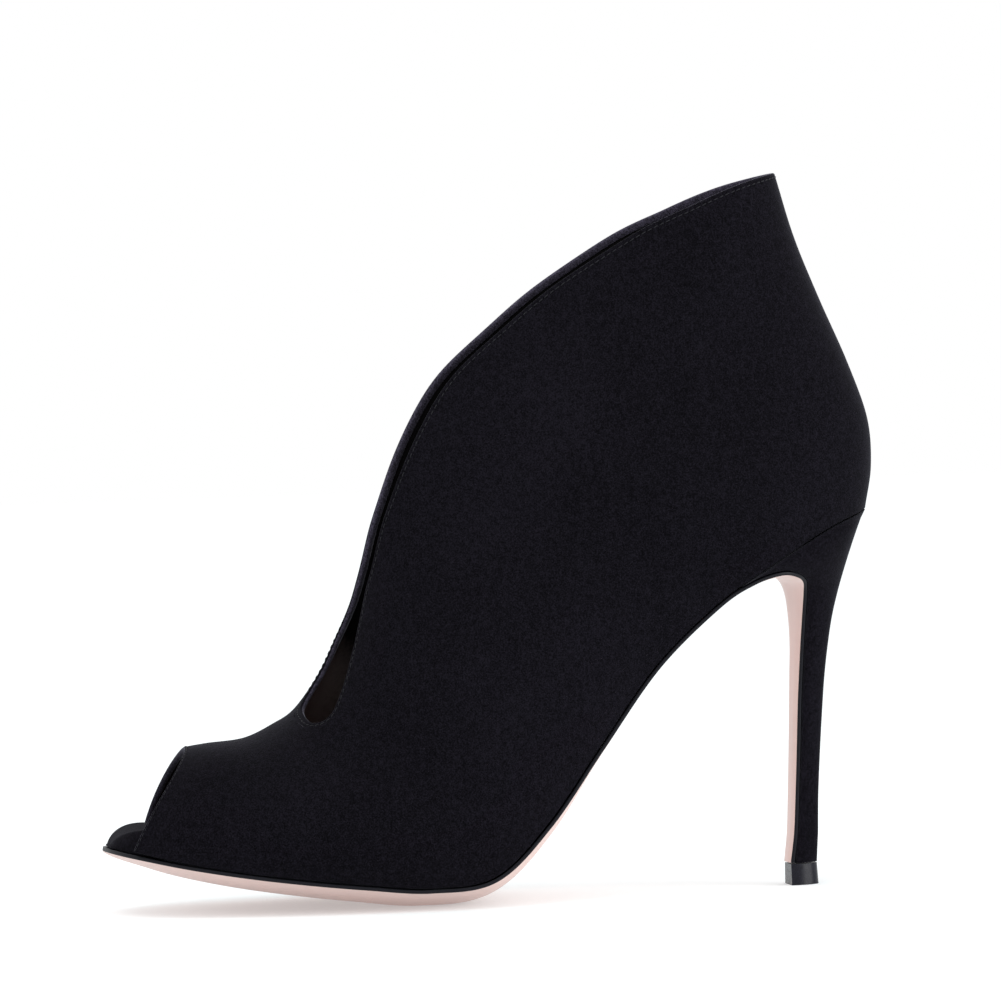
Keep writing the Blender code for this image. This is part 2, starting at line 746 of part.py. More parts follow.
def make_insole():
    """The sock lining on the platform, the waist and the seat."""
    rings = []
    on_platform = [t for t in platform_stations() if t >= INSOLE_FRONT]
    waist_step = (WEDGE - PLATFORM_END) / WAIST_ROWS
    behind = [PLATFORM_END + waist_step * i for i in range(1, WAIST_ROWS)]
    for t in on_platform + behind:
        lift = platform_height(t) + GAP if t < PLATFORM_END else LEAST + GAP
        rings.append(sheet_ring(t, lift, INSOLE, 0.0))
    y_0, _, near_0, far_0 = seat_rim(WEDGE_FRONT)
    y_1 = seat_rim(BACK_SEAM)[0]
    inset = WALL + 2 * SIDE_ROOM
    stretch = (y_1 - y_0) / (y_1 - y_0 - inset)
    for i in range(1, INSOLE_HEEL_ROWS + 1):
        reach = sin(pi / 2 * INSOLE_REACH * i / INSOLE_HEEL_ROWS)
        y = y_0 + (y_1 - inset - y_0) * reach
        z = seat_at(y)[0]
        _, near, far = seat_at(y_0 + (y - y_0) * stretch)
        near *= 1 - inset / near_0
        far *= 1 - inset / far_0
        low = GAP + LEAST + GAP
        under, top = [], []
        for side_share, x in across(near, far):
            dish = seat_dish((y - y_0) / (y_1 - y_0), side_share)
            under.append((x, y, z + low - dish))
            top.append((x, y, z + low - dish + INSOLE))
        rings.append(under + top[::-1])
    return loft("insole", rings)


def finish(obj, colour, roughness):
    """Give an object its own material. Colours are linear."""
    material = bpy.data.materials.new(obj.name)
    material.use_nodes = True
    shader = material.node_tree.nodes["Principled BSDF"]
    shader.inputs["Base Color"].default_value = (*colour, 1.0)
    shader.inputs["Roughness"].default_value = roughness
    shader.inputs["Metallic"].default_value = 0.0
    obj.data.materials.append(material)


def clear_scene():
    for obj in list(bpy.data.objects):
        bpy.data.objects.remove(obj)


def new_collection(name):
    collection = bpy.data.collections.new(name)
    bpy.context.scene.collection.children.link(collection)
    return collection


def main():
    suede = (0.0090, 0.0085, 0.0115)
    nude_leather = (0.665, 0.468, 0.434)
    brown_leather = (0.120, 0.045, 0.028)
    black_plastic = (0.020, 0.020, 0.024)
    finish(make_upper(), suede, 0.92)
    finish(make_heel(), suede, 0.92)
    finish(make_platform(), suede, 0.92)
    finish(make_outsole(), nude_leather, 0.42)
    finish(make_insole(), brown_leather, 0.60)
    finish(make_heel_tip(), black_plastic, 0.25)


clear_scene()
boot = new_collection("peep_toe_ankle_boot")
main()
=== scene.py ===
"""The looks of the peep toe ankle boot: black suede, a nude leather sole and a glossy heel tip.

Metres, +Z up. The toe points along -Y, the outer side faces +X, and the origin is the
centre of the heel tip's underside, on the floor.
"""

from collections import namedtuple
from math import asin, cos, hypot, pi, radians, sin, sqrt

import bmesh
import bpy
import numpy as np
from mathutils import Matrix, Vector
from mathutils.bvhtree import BVHTree


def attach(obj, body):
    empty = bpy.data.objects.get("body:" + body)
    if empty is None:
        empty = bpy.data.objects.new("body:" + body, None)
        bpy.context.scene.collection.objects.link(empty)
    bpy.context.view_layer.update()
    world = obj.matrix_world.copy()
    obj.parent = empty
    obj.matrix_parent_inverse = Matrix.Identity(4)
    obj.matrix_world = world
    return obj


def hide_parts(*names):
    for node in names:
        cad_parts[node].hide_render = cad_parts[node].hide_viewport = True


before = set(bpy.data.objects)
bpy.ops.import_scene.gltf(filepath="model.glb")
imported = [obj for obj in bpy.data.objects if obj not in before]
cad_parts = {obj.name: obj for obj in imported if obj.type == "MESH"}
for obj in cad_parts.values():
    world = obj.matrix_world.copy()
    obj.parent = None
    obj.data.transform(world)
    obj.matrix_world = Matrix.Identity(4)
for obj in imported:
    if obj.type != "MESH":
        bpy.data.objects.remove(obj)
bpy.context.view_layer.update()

# Driving sizes of the last.
TOE_REACH = 0.1976  # heel tip centre to the front of the sole
BACK_REACH = 0.0208  # heel tip centre to the back of the seat
HEEL_HEIGHT = 0.1055  # floor to the seam at the back of the heel
SHAFT_RISE = 0.0955  # that seam to the collar's back peak
BALL_WIDTH = 0.0720  # the sole across its widest place
ANKLE_WIDTH = 0.0600  # the upper across the heel, outside
THROAT_HEIGHT = 0.0545  # floor to the lowest point of the throat, outside
TOE_SPRING = 0.0173  # floor to the sole's top edge at the toe opening
TOE_ROUND = 0.0275  # length of the rounded end of the toe
TOE_TURN = 0.0080  # how far the toe lies toward the inner side of the foot

# Walls and layers.
WALL = 0.0016
SOLE_EDGE = 0.0010
SOLE_MIDDLE = 0.0020  # what the sole gains in thickness from its edge to its middle
BREAST_MIDDLE = 0.0007  # the same down the front of the heel
BREAST_TURN = 4.0  # over how many stations the sole thins there
PLATFORM = 0.0078
INSOLE = 0.0020
GAP = 0.0003

# The heel and its tip.
TIP_HEIGHT = 0.0060
TIP_DEPTH = 0.0086
TIP_WIDTH = 0.0090
HEEL_CUP = 0.0025  # how deep the seat is dished

DISH_START = 0.3  # the share of the seat that lies ahead of the dish
FLAT_MIDDLE = 0.28  # the share of the sole's width that is flat underneath
BELLY_POWER = 1.8  # how roundly the sole rises from there to its edge
LIFT_START = 4  # the row of the heel from which the rings take the seam's curve

SIDE_ROOM = 0.0009  # between the upper's inner face and what lies inside it
PLATFORM_CORNER = 0.0030
NOSE_BACK = 0.0012  # from the sole's front to the platform's rounded nose
NOSE_LENGTH = 0.0130
NOSE_START = -0.62  # the station of the nose's first row
PLATFORM_END = 8.0  # the station where the platform has thinned out
WAIST_LENGTH = 3.0  # over how many stations it thins
INSOLE_FRONT = 0.7  # the station where the insole starts
INSOLE_REACH = 0.97  # how far round the seat the insole's last row lies
LEAST = 0.0006  # the thinnest that a layer gets
LEAST_EDGE = 0.0004  # the thinnest at a rounded corner
LEAST_NOSE = 0.004  # the half width of the sole's first row, as a share of the one behind the nose
WIDEST_START = 0.999  # the greatest share of a section's half width at its lower edge
TIP_TAPER = 0.0003

# Mesh divisions.
COLUMNS = 270
TOE_COLUMNS = 46
RINGS = 62
ACROSS = 48
NOSE_ROWS = 40
HEEL_STEPS = 14
PLATFORM_NOSE = 30
PLATFORM_ROWS = 90
WAIST_ROWS = 16
INSOLE_HEEL_ROWS = 40
SEAT_ACROSS = 16
HALVINGS = 24  # steps that close in on a place along the seat's rim

THROAT = 4.0  # the station where the throat starts
THROAT_LEAN = 0.084  # how far its middle lies to the outer side, as a share of a half turn
LEAN_END = 8.0  # the station from which the opening is even on both sides
LEAN_FADE = 0.85  # the power with which the lean fades on the way there
WEDGE = 10.0  # the station where the heel's cover starts between sole and upper
WEDGE_FRONT = 10.4  # the station of the cover's front edge
TOE_SLANT = 0.52  # how many stations the toe opening's edge lies further back on the far side
BACK_SEAM = 14.0  # the station where the heel's seam meets the centre of the back

# The sole's top edge on both sides, station by station. Lengths are shares: y of the reach
# toward the toe, spring of the toe spring, heel of the heel height, half widths of half the
# ball width, bulge of the ball width (how much lower the middle of the sole lies).
Edge = namedtuple("Edge", "y spring heel near far bulge")
BOTTOM = [
    Edge(-0.9620, 1.000, 0.000, 0.540, 0.520, 0.026),
    Edge(-0.9010, 0.855, 0.000, 0.775, 0.745, 0.045),
    Edge(-0.8250, 0.700, 0.000, 0.905, 0.860, 0.057),
    Edge(-0.7440, 0.565, 0.000, 0.985, 0.930, 0.064),
    Edge(-0.6580, 0.445, 0.000, 1.025, 0.965, 0.069),
    Edge(-0.5670, 0.352, 0.000, 1.030, 0.945, 0.073),
    Edge(-0.4760, 0.200, 0.046, 0.985, 0.860, 0.072),
    Edge(-0.3950, 0.000, 0.212, 0.880, 0.755, 0.062),
    Edge(-0.3140, 0.000, 0.406, 0.770, 0.680, 0.036),
    Edge(-0.2280, 0.000, 0.612, 0.705, 0.645, 0.024),
    Edge(-0.1370, 0.000, 0.766, 0.690, 0.660, 0.020),
]

# From the arch the sole turns down the front of the heel, and ends on the heel tip.
ARCH_AND_BREAST = [
    Edge(-0.0845, 0.000, 0.8240, 0.680, 0.670, 0.018),
    Edge(-0.0430, 0.000, 0.8455, 0.645, 0.645, 0.016),
    Edge(-0.0170, 0.000, 0.8390, 0.580, 0.580, 0.013),
    Edge(-0.0012, 0.000, 0.8190, 0.480, 0.480, 0.010),
    Edge(0.0042, 0.000, 0.7820, 0.360, 0.360, 0.008),
    Edge(0.0051, 0.000, 0.7200, 0.267, 0.267, 0.006),
    Edge(0.0040, 0.000, 0.6450, 0.203, 0.203, 0.004),
    Edge(0.0013, 0.000, 0.5600, 0.180, 0.180, 0.003),
    Edge(-0.0010, 0.000, 0.4830, 0.163, 0.163, 0.003),
    Edge(-0.0045, 0.000, 0.3500, 0.153, 0.153, 0.003),
    Edge(-0.0078, 0.000, 0.2370, 0.144, 0.144, 0.003),
    Edge(-0.0111, 0.000, 0.1400, 0.135, 0.135, 0.003),
]

# The seam of the heel's cover, from the wedge to the centre of the back. Here y is a share of
# the back reach, and the half widths are of half the ankle width.
Seam = namedtuple("Seam", "y heel near far")
SEAM = [
    Seam(-0.4700, 0.872, 0.865, 0.850),
    Seam(0.2900, 0.953, 0.685, 0.675),
    Seam(0.8100, 0.990, 0.400, 0.395),
    Seam(1.0000, 1.000, 0.000, 0.000),
]

# The centre of the back above the seam: y of the back reach, z of the shaft rise.
BACK = [
    (1.000, 0.000),
    (1.100, 0.125),
    (1.060, 0.270),
    (0.815, 0.435),
    (0.450, 0.625),
    (0.130, 0.810),
    (-0.110, 1.000),
]

# The ridge of the vamp and instep, which is open above the throat. Every station has one row:
# y of the toe reach, z of the throat height up to the throat and of the way from there to the
# peak beyond it, greatest half widths (near and far side), the widest place's share of the
# section's depth, the centre line's turn toward the inner side and the ridge's further way
# there as shares of the toe's turn, and the section's forward bow as a share of the round toe.
Section = namedtuple("Section", "y z near far widest turn peak bow", defaults=(0.0, 0.0, 0.0))
FORE = [
    Section(-0.8930, 0.835, 0.590, 0.570, 0.50, 0.92, 0.00, 0.095),
    Section(-0.8500, 0.857, 0.825, 0.790, 0.50, 0.78, 0.00, 0.045),
    Section(-0.7950, 0.877, 0.965, 0.915, 0.47, 0.62, 0.12, 0.010),
    Section(-0.7520, 0.943, 1.060, 1.000, 0.42, 0.48, 0.35, 0.000),
    Section(-0.7190, 1.018, 1.105, 1.045, 0.36, 0.42, 0.60, 0.000),
]
REAR = [
    Section(-0.6845, 0.071, 1.345, 1.260, 0.34, 0.32, 0.54),
    Section(-0.6605, 0.142, 1.300, 1.190, 0.35, 0.20, 0.36),
    Section(-0.6450, 0.204, 1.225, 1.115, 0.37, 0.10, 0.22),
    Section(-0.6375, 0.260, 1.145, 1.045, 0.39, 0.04, 0.13),
    Section(-0.6305, 0.314, 1.080, 1.005, 0.42, 0.00, 0.06),
    Section(-0.6268, 0.362, 1.035, 0.995, 0.41),
    Section(-0.6218, 0.406, 1.015, 1.000, 0.40),
    Section(-0.6165, 0.444, 1.010, 1.000, 0.40),
    Section(-0.6112, 0.481, 1.000, 1.000, 0.40),
    Section(-0.6040, 0.519, 0.985, 0.985, 0.40),
    Section(-0.5848, 0.580, 0.955, 0.955, 0.40),
    Section(-0.5575, 0.651, 0.910, 0.910, 0.40),
    Section(-0.5040, 0.729, 0.850, 0.850, 0.40),
    Section(-0.4505, 0.802, 0.800, 0.800, 0.40),
    Section(-0.4225, 0.890, 0.710, 0.710, 0.40),
    Section(-0.4050, 1.000, 0.640, 0.640, 0.40),
]

# The collar's edge from the bottom of the throat to the back peak: the station, and how far
# round the section the wall reaches, where 1 is the ridge and 0 the centre of the back.
COLLAR = [
    (4.00, 1.000),
    (4.02, 0.974),
    (4.10, 0.951),
    (4.25, 0.934),
    (4.45, 0.921),
    (4.70, 0.917),
    (5.00, 0.921),
    (5.50, 0.925),
    (6.00, 0.924),
    (7.00, 0.916),
    (8.50, 0.897),
    (10.0, 0.891),
    (11.0, 0.885),
    (12.0, 0.877),
    (13.0, 0.868),
    (14.0, 0.859),
    (15.0, 0.850),
    (16.0, 0.832),
    (17.0, 0.800),
    (18.0, 0.755),
    (19.0, 0.617),
    (19.5, 0.478),
    (19.8, 0.345),
    (19.95, 0.190),
    (20.0, 0.000),
]

# The heel from its tip up to the seam: the sole's station in front of each ring, then the back
# line, with y of the back reach and z of the heel height.
HEEL = [
    (22, 0.222, 0.140),
    (21, 0.240, 0.237),
    (20, 0.280, 0.350),
    (19, 0.328, 0.460),
    (18, 0.375, 0.555),
    (17, 0.435, 0.640),
    (16, 0.500, 0.715),
    (15, 0.587, 0.785),
    (14, 0.683, 0.850),
    (13, 0.780, 0.905),
    (12, 0.868, 0.948),
    (11, 0.942, 0.980),
]


def smooth(rows, t):
    """Read a table at the fractional row t, along a curve through all of its rows."""
    last = len(rows) - 1
    k = min(max(int(t), 0), last - 1)
    f = t - k
    before = rows[max(k - 1, 0)]
    after = rows[min(k + 2, last)]
    result = []
    for p0, p1, p2, p3 in zip(before, rows[k], rows[k + 1], after):
        slope_1 = (p2 - p0) / (2 if k > 0 else 1)
        slope_2 = (p3 - p1) / (2 if k + 2 <= last else 1)
        rise = p2 - p1
        value = p1 + slope_1 * f
        value += (3 * rise - 2 * slope_1 - slope_2) * f**2
        value += (slope_1 + slope_2 - 2 * rise) * f**3
        result.append(value)
    return result


def edge_rows():
    """The sole's top edge in metres: y, z, near and far half widths, bulge."""
    rows = []
    for row in BOTTOM + ARCH_AND_BREAST:
        z = row.spring * TOE_SPRING + row.heel * HEEL_HEIGHT
        half = BALL_WIDTH / 2
        rows.append((row.y * TOE_REACH, z, row.near * half, row.far * half, row.bulge * BALL_WIDTH))
    front = -TIP_DEPTH / 2 + SOLE_EDGE
    half = TIP_WIDTH / 2 - GAP / 2
    rows.append((front, TIP_HEIGHT + GAP, half, half, rows[-1][4]))
    return rows


EDGE = edge_rows()


def sole_edge(t):
    """The sole's top edge at station t: point, upward normal, half widths and bulge."""
    y, z, near, far, bulge = smooth(EDGE, t)
    step = 0.02
    y_0, z_0 = smooth(EDGE, max(t - step, 0))[:2]
    y_1, z_1 = smooth(EDGE, min(t + step, len(EDGE) - 1))[:2]
    run = hypot(y_1 - y_0, z_1 - z_0)
    normal = (-(z_1 - z_0) / run, (y_1 - y_0) / run)
    return (y, z), normal, (near, far), bulge


def feather_rows():
    """The upper's lower edge in metres: y, z, near and far half widths."""
    rows = []
    for t in range(int(WEDGE) + 1):
        (y, z), normal, (near, far), _ = sole_edge(t)
        rows.append((y + GAP * normal[0], z + GAP * normal[1], near, far))
    half = ANKLE_WIDTH / 2
    for row in SEAM:
        y = row.y * BACK_REACH
        rows.append((y, row.heel * HEEL_HEIGHT + GAP, row.near * half, row.far * half))
    y, z, near, far = rows[-2]
    rows.append((y, z, -near, -far))
    return rows


FEATHER = feather_rows()


def feather(t):
    """The upper's lower edge at station t: y, z, near and far half widths."""
    if t < WEDGE:
        (y, z), normal, (near, far), _ = sole_edge(t)
        return y + GAP * normal[0], z + GAP * normal[1], near, far
    return smooth(FEATHER, t)


def back(t):
    """The centre of the back at station t, from the seam up."""
    y, z = smooth(BACK, t - BACK_SEAM)
    return y * BACK_REACH, HEEL_HEIGHT + GAP + z * SHAFT_RISE


def section_rows():
    """Every station's section in metres: y, z, near, far, widest, centre, peak and bow."""
    rows = []
    peak = HEEL_HEIGHT + SHAFT_RISE
    for table, width, low, high in ((FORE, BALL_WIDTH, 0.0, THROAT_HEIGHT),
                                    (REAR, ANKLE_WIDTH, THROAT_HEIGHT, peak)):
        half = width / 2
        for row in table:
            z = low + row.z * (high - low)
            rows.append((row.y * TOE_REACH, z, row.near * half, row.far * half, row.widest,
                         -row.turn * TOE_TURN, row.peak * TOE_TURN, row.bow * TOE_ROUND))
    return rows


SECTIONS = section_rows()


def depth_share(angle, widest):
    """How deep in its section a point lies, as a share, at an angle from the bottom or back."""
    return (1 - cos(angle)) / 2 - (0.5 - widest) * sin(angle) ** 2


def section(t, side):
    """The full section on one side: ridge, back, half width, widest, centre, peak, bow, start.

    Below the heel's seam the section is cut off by its lower edge, and its back is where it
    would end without that cut."""
    y_r, z_r, near, far, widest, centre, peak, bow = smooth(SECTIONS, t)
    half = near if side > 0 else far
    if t >= BACK_SEAM:
        return (y_r, z_r), back(t), half, widest, centre, peak, bow, 0.0
    y_b, z_b, near_b, far_b = feather(t)
    start = asin(min(max((near_b if side > 0 else far_b) / half, 0), WIDEST_START))
    low = depth_share(start, widest)
    ratio = low / (1 - low)
    full_back = (y_b - (y_r - y_b) * ratio, z_b - (z_r - z_b) * ratio)
    return (y_r, z_r), full_back, half, widest, centre, peak, bow, start


def start_angle(t, side):
    """The angle at which the outer face starts at station t, on its lower edge or back."""
    return section(t, side)[-1]


def outer_point(t, angle, side):
    """A point of the outer face at station t. The ridge lies at the angle pi, the other side past it."""
    if angle > pi:
        angle, side = 2 * pi - angle, -side
    (y_r, z_r), (y_b, z_b), half, widest, centre, peak, bow, _ = section(t, side)
    share = depth_share(angle, widest)
    run = hypot(y_r - y_b, z_r - z_b)
    forward = bow * sin(pi * share)
    y = y_b + (y_r - y_b) * share - forward * (z_r - z_b) / run
    z = z_b + (z_r - z_b) * share + forward * (y_r - y_b) / run
    return centre + side * half * sin(angle) - peak * share**3, y, z


def lower_point(t, side):
    """The upper's lower edge at station t."""
    return outer_point(t, start_angle(t, side), side)


def lean(t):
    """How far the opening's middle lies to the outer side at station t, as a share."""
    if t < THROAT:
        return THROAT_LEAN * (max(t, 0) / THROAT) ** 2
    behind = min((t - THROAT) / (LEAN_END - THROAT), 1)
    return THROAT_LEAN * (1 + cos(pi * behind**LEAN_FADE)) / 2


def opening_angle(t, turn, side):
    """The angle of the opening's edge, with turn 1 at its middle and 0 at the section's back."""
    return pi * (turn - side * lean(t))


def collar_rows():
    """The collar's edge with its two ends continued by their mirror images."""
    first, second = COLLAR[:2]
    last, before = COLLAR[-1], COLLAR[-2]
    return [(second[0], 2 * first[1] - second[1])] + COLLAR + [(before[0], 2 * last[1] - before[1])]


def spaced(curve, first, last, count):
    """Parameters between first and last that lie evenly along a curve of points."""
    steps = 400
    grid = [first + (last - first) * i / steps for i in range(steps + 1)]
    points = [curve(g) for g in grid]
    lengths = [0.0]
    for p, q in zip(points, points[1:]):
        lengths.append(lengths[-1] + sqrt(sum((a - b) ** 2 for a, b in zip(p, q))))
    result = []
    k = 0
    for i in range(count + 1):
        want = lengths[-1] * i / count
        while k < steps - 1 and lengths[k + 1] < want:
            k += 1
        f = (want - lengths[k]) / (lengths[k + 1] - lengths[k])
        result.append(grid[k] + (grid[k + 1] - grid[k]) * f)
    return result


def lower_stations(first, side):
    """The stations along the upper's lower edge on one side."""
    toe = spaced(lambda t: lower_point(t, side), first, THROAT, TOE_COLUMNS)
    rest = spaced(lambda t: lower_point(t, side), THROAT, BACK_SEAM, COLUMNS - TOE_COLUMNS)
    return toe + rest[1:]


LOWER = lower_stations(0.0, 1)


def upper_columns(side):
    """Where each column of the upper starts and ends: the two stations and the two angles."""
    rows = collar_rows()

    def collar(k):
        return smooth(rows, k + 1)

    def collar_point(k):
        station, turn = collar(k)
        return outer_point(station, opening_angle(station, turn, 1), 1)

    lower = lower_stations(0.0 if side > 0 else TOE_SLANT, side)

    def middle(t):
        return outer_point(t, opening_angle(t, 1, 1), 1)

    columns = []
    for low, high in zip(lower, spaced(middle, TOE_SLANT / 2, THROAT, TOE_COLUMNS)):
        columns.append((low, high, start_angle(low, side), opening_angle(high, 1, side)))
    above = spaced(collar_point, 0, len(COLLAR) - 1, COLUMNS - TOE_COLUMNS)
    for low, k in zip(lower[TOE_COLUMNS + 1:], above[1:]):
        station, turn = collar(k)
        last = opening_angle(station, max(turn, 0.0), side)
        columns.append((low, station, start_angle(low, side), last))
    return columns


SAME_PLACE = 0.000004  # points closer than this become one


def add_object(name, data):
    obj = bpy.data.objects.new(name, data)
    bpy.context.scene.collection.objects.link(obj)
    return obj


def add_mesh(name, vertices, faces, materials=(), slots=None, sharp=50):
    """A smooth mesh object of this name, with doubled vertices merged and its faces turned out."""
    mesh = bpy.data.meshes.new(name)
    mesh.from_pydata(vertices, [], faces)
    for material in materials:
        mesh.materials.append(material)
    if slots:
        mesh.polygons.foreach_set("material_index", slots)
    work = bmesh.new()
    work.from_mesh(mesh)
    bmesh.ops.remove_doubles(work, verts=work.verts, dist=SAME_PLACE)
    bmesh.ops.recalc_face_normals(work, faces=work.faces)
    work.to_mesh(mesh)
    work.free()
    mesh.shade_smooth()
    mesh.set_sharp_from_angle(angle=radians(sharp))
    return add_object(name, mesh)


def ring_faces(rings):
    """Vertices and side faces of rings of equally many points."""
    count = len(rings[0])
    vertices = [point for ring in rings for point in ring]
    faces = []
    for i in range(len(rings) - 1):
        for k in range(count):
            m = (k + 1) % count
            a, b = i * count, (i + 1) * count
            faces.append((a + k, a + m, b + m, b + k))
    return vertices, faces


def capped(rings):
    """Vertices and faces of a closed solid through rings of equally many points."""
    vertices, faces = ring_faces(rings)
    count = len(rings[0])
    faces.append(tuple(range(count)))
    faces.append(tuple(range(len(vertices) - count, len(vertices))))
    return vertices, faces


def loft(name, rings):
    """A closed solid through rings of equally many points."""
    return add_mesh(name, *capped(rings))


def sole_outline(t):
    """Edge point, normal, half widths and bulge of the sole, also ahead of station 0."""
    if t >= 0:
        return sole_edge(t)
    (y_0, z_0), normal, (near, far), bulge = sole_edge(0)
    y_c = -TOE_REACH + TOE_ROUND
    start = asin((y_c - y_0) / TOE_ROUND)
    angle = start + (pi / 2 - start) * -t
    y = y_c - TOE_ROUND * sin(angle)
    share = max(cos(angle) / cos(start), LEAST_NOSE)
    slope = -normal[0] / normal[1]
    z = z_0 + (y - y_0) * slope
    return (y, z), normal, (near * share, far * share), bulge * share


def centre_at(t):
    """The centre line's sideways place at station t."""
    if t < 0:
        y, _ = sole_outline(t)[0]
        y_0, _ = sole_outline(0)[0]
        behind = 0.2
        slope = (centre_at(behind) - centre_at(0)) / (sole_outline(behind)[0][0] - y_0)
        return centre_at(0) + (y - y_0) * slope
    if t > len(SECTIONS) - 1:
        return 0.0
    return smooth(SECTIONS, t)[5]


def across(near, far, count=ACROSS):
    """Shares from the far edge (-1) to the near edge (1), with the distance from the middle."""
    for i in range(count + 1):
        share = -cos(pi * i / count)
        yield share, share * (near if share > 0 else far)


def belly(share):
    """How far down the sole's middle reaches: 1 in the middle, 0 at the edge."""
    out = max(abs(share) - FLAT_MIDDLE, 0) / (1 - FLAT_MIDDLE)
    return 1 - out**BELLY_POWER


def seat_rim(t):
    """The seat's rim at station t, from the wedge's front to the centre of the back."""
    y, z, near, far = feather(t)
    return y, z - GAP, near, far


def seat_at(y):
    """Where the seat's rim crosses y: its height and half widths."""
    low, high = WEDGE_FRONT, BACK_SEAM
    for _ in range(HALVINGS):
        middle = (low + high) / 2
        if seat_rim(middle)[0] < y:
            low = middle
        else:
            high = middle
    return seat_rim(low)[1:]


def seat_shape():
    """The rim as shares: along the chord, above the chord, and across on both sides."""
    y_0, z_0, near_0, far_0 = seat_rim(WEDGE_FRONT)
    y_1, z_1, _, _ = seat_rim(BACK_SEAM)
    run_y, run_z = y_1 - y_0, z_1 - z_0
    chord = hypot(run_y, run_z)
    shape = []
    for t in [WEDGE_FRONT] + [t for t in LOWER if t > WEDGE_FRONT]:
        y, z, near, far = seat_rim(t)
        along = ((y - y_0) * run_y + (z - z_0) * run_z) / chord**2
        above = ((z - z_0) * run_y - (y - y_0) * run_z) / chord**2
        shape.append((along, above, near / near_0, far / far_0))
    return shape


def seat_dish(along, across_share):
    """How far the seat lies below its rim."""
    behind = max(along - DISH_START, 0) / (1 - DISH_START)
    return HEEL_CUP * sin(pi * min(behind, 1)) * (1 - across_share**2)


def ring_around(front, back_point, near, far, shape, lift=1.0):
    """A D-shaped ring between a straight front edge and a round back."""
    (y_0, z_0), (y_1, z_1) = front, back_point
    run_y, run_z = y_1 - y_0, z_1 - z_0
    sides = []
    for half, column in ((near, 2), (far, 3)):
        points = []
        for row in shape:
            y = y_0 + run_y * row[0] - run_z * row[1] * lift
            z = z_0 + run_z * row[0] + run_y * row[1] * lift
            x = half * row[column]
            points.append((x if column == 2 else -x, y, z))
        sides.append(points)
    return sides[0] + sides[1][-2::-1]


def make_heel():
    """The slim covered heel, its wedge under the arch and its dished seat."""
    shape = seat_shape()
    end = len(EDGE) - 1
    y, z, near, far, _ = EDGE[end]
    bottom = (y + GAP, z)
    rings = [ring_around(bottom, (TIP_DEPTH / 2 - GAP, z), near, far, shape, 0.0)]
    last = len(HEEL) - 1
    for i in range(last * HEEL_STEPS + 1):
        row = i / HEEL_STEPS
        station, y_share, z_share = smooth(HEEL, row)
        (y, z), normal, (near, far), _ = sole_edge(station)
        front = (y + GAP * normal[0], z + GAP * normal[1])
        back_point = (y_share * BACK_REACH, z_share * HEEL_HEIGHT)
        lift = max(row - LIFT_START, 0) / (len(HEEL) - LIFT_START)
        rings.append(ring_around(front, back_point, near, far, shape, lift))
    y_0, z_0, near, far = seat_rim(WEDGE_FRONT)
    y_1, z_1, _, _ = seat_rim(BACK_SEAM)
    rim = ring_around((y_0, z_0), (y_1, z_1), near, far, shape)
    rings.append(rim)
    vertices, faces = ring_faces(rings)
    faces.append(tuple(range(len(rim))))
    seat_faces(vertices, faces, rim)
    return add_mesh("heel", vertices, faces)


def seat_faces(vertices, faces, rim):
    """Rows of faces across the seat, from the rim's near side to its far side."""
    count = len(rim)
    first = len(vertices) - count
    rows = []
    for k in range(1, count // 2):
        near, far = first + k, first + count - 1 - k
        row = [near]
        x_0, y_0, z_0 = vertices[near]
        x_1 = vertices[far][0]
        along = (y_0 - rim[0][1]) / (rim[count // 2][1] - rim[0][1])
        for i in range(1, SEAT_ACROSS):
            f = i / SEAT_ACROSS
            dish = seat_dish(along, 2 * f - 1)
            vertices.append((x_0 + (x_1 - x_0) * f, y_0, z_0 - dish))
            row.append(len(vertices) - 1)
        rows.append(row + [far])
    faces.append(tuple([first] + rows[0] + [first + count - 1]))
    for one, two in zip(rows, rows[1:]):
        for i in range(SEAT_ACROSS):
            faces.append((one[i], two[i], two[i + 1], one[i + 1]))
    last = rows[-1]
    middle = first + count // 2
    for i in range(SEAT_ACROSS):
        faces.append((last[i], middle, last[i + 1]))


def make_heel_tip():
    """The glossy D-shaped top piece that stands on the floor."""
    shape = seat_shape()
    rings = []
    for z, taper in ((0.0, 0.0), (TIP_HEIGHT, TIP_TAPER)):
        half = TIP_WIDTH / 2 - taper
        front = (-TIP_DEPTH / 2, z)
        rings.append(ring_around(front, (TIP_DEPTH / 2 - taper, z), half, half, shape, 0.0))
    return loft("heel_tip", rings)


def inner_half(half):
    """The inside's half width beside a lower edge of this half width."""
    return max(half - WALL - SIDE_ROOM, 0.0)


def sheet_ring(t, lift, thickness, corner):
    """The section of a flat inner layer at station t: its underside, then its top."""
    (y, z), normal, (near, far), bulge = sole_outline(t)
    dish_middle = max(bulge - SOLE_MIDDLE, 0)
    centre = centre_at(t)
    under, top = [], []
    for share, x in across(inner_half(near), inner_half(far)):
        dish = dish_middle * belly(share) if lift == 0 else 0.0
        edge = (near if share > 0 else far) * (1 - abs(share))
        rounding = 0.0
        if edge < corner:
            rounding = corner - sqrt(corner**2 - (corner - edge) ** 2)
        low = GAP + lift - dish
        high = GAP + lift + max(thickness - rounding, LEAST_EDGE)
        under.append((centre + x, y + low * normal[0], z + low * normal[1]))
        top.append((centre + x, y + high * normal[0], z + high * normal[1]))
    return under + top[::-1]


def platform_height(t):
    """How thick the platform is at station t: rounded at its nose, gone at the waist."""
    start = PLATFORM_END - WAIST_LENGTH
    if t <= start:
        behind = (sole_outline(t)[0][0] + TOE_REACH - NOSE_BACK) / NOSE_LENGTH
        height = PLATFORM * sqrt(1 - (1 - min(max(behind, 0), 1)) ** 2)
        return max(height, LEAST)
    share = (t - start) / WAIST_LENGTH
    return LEAST + (PLATFORM - LEAST) * (1 + cos(pi * share)) / 2


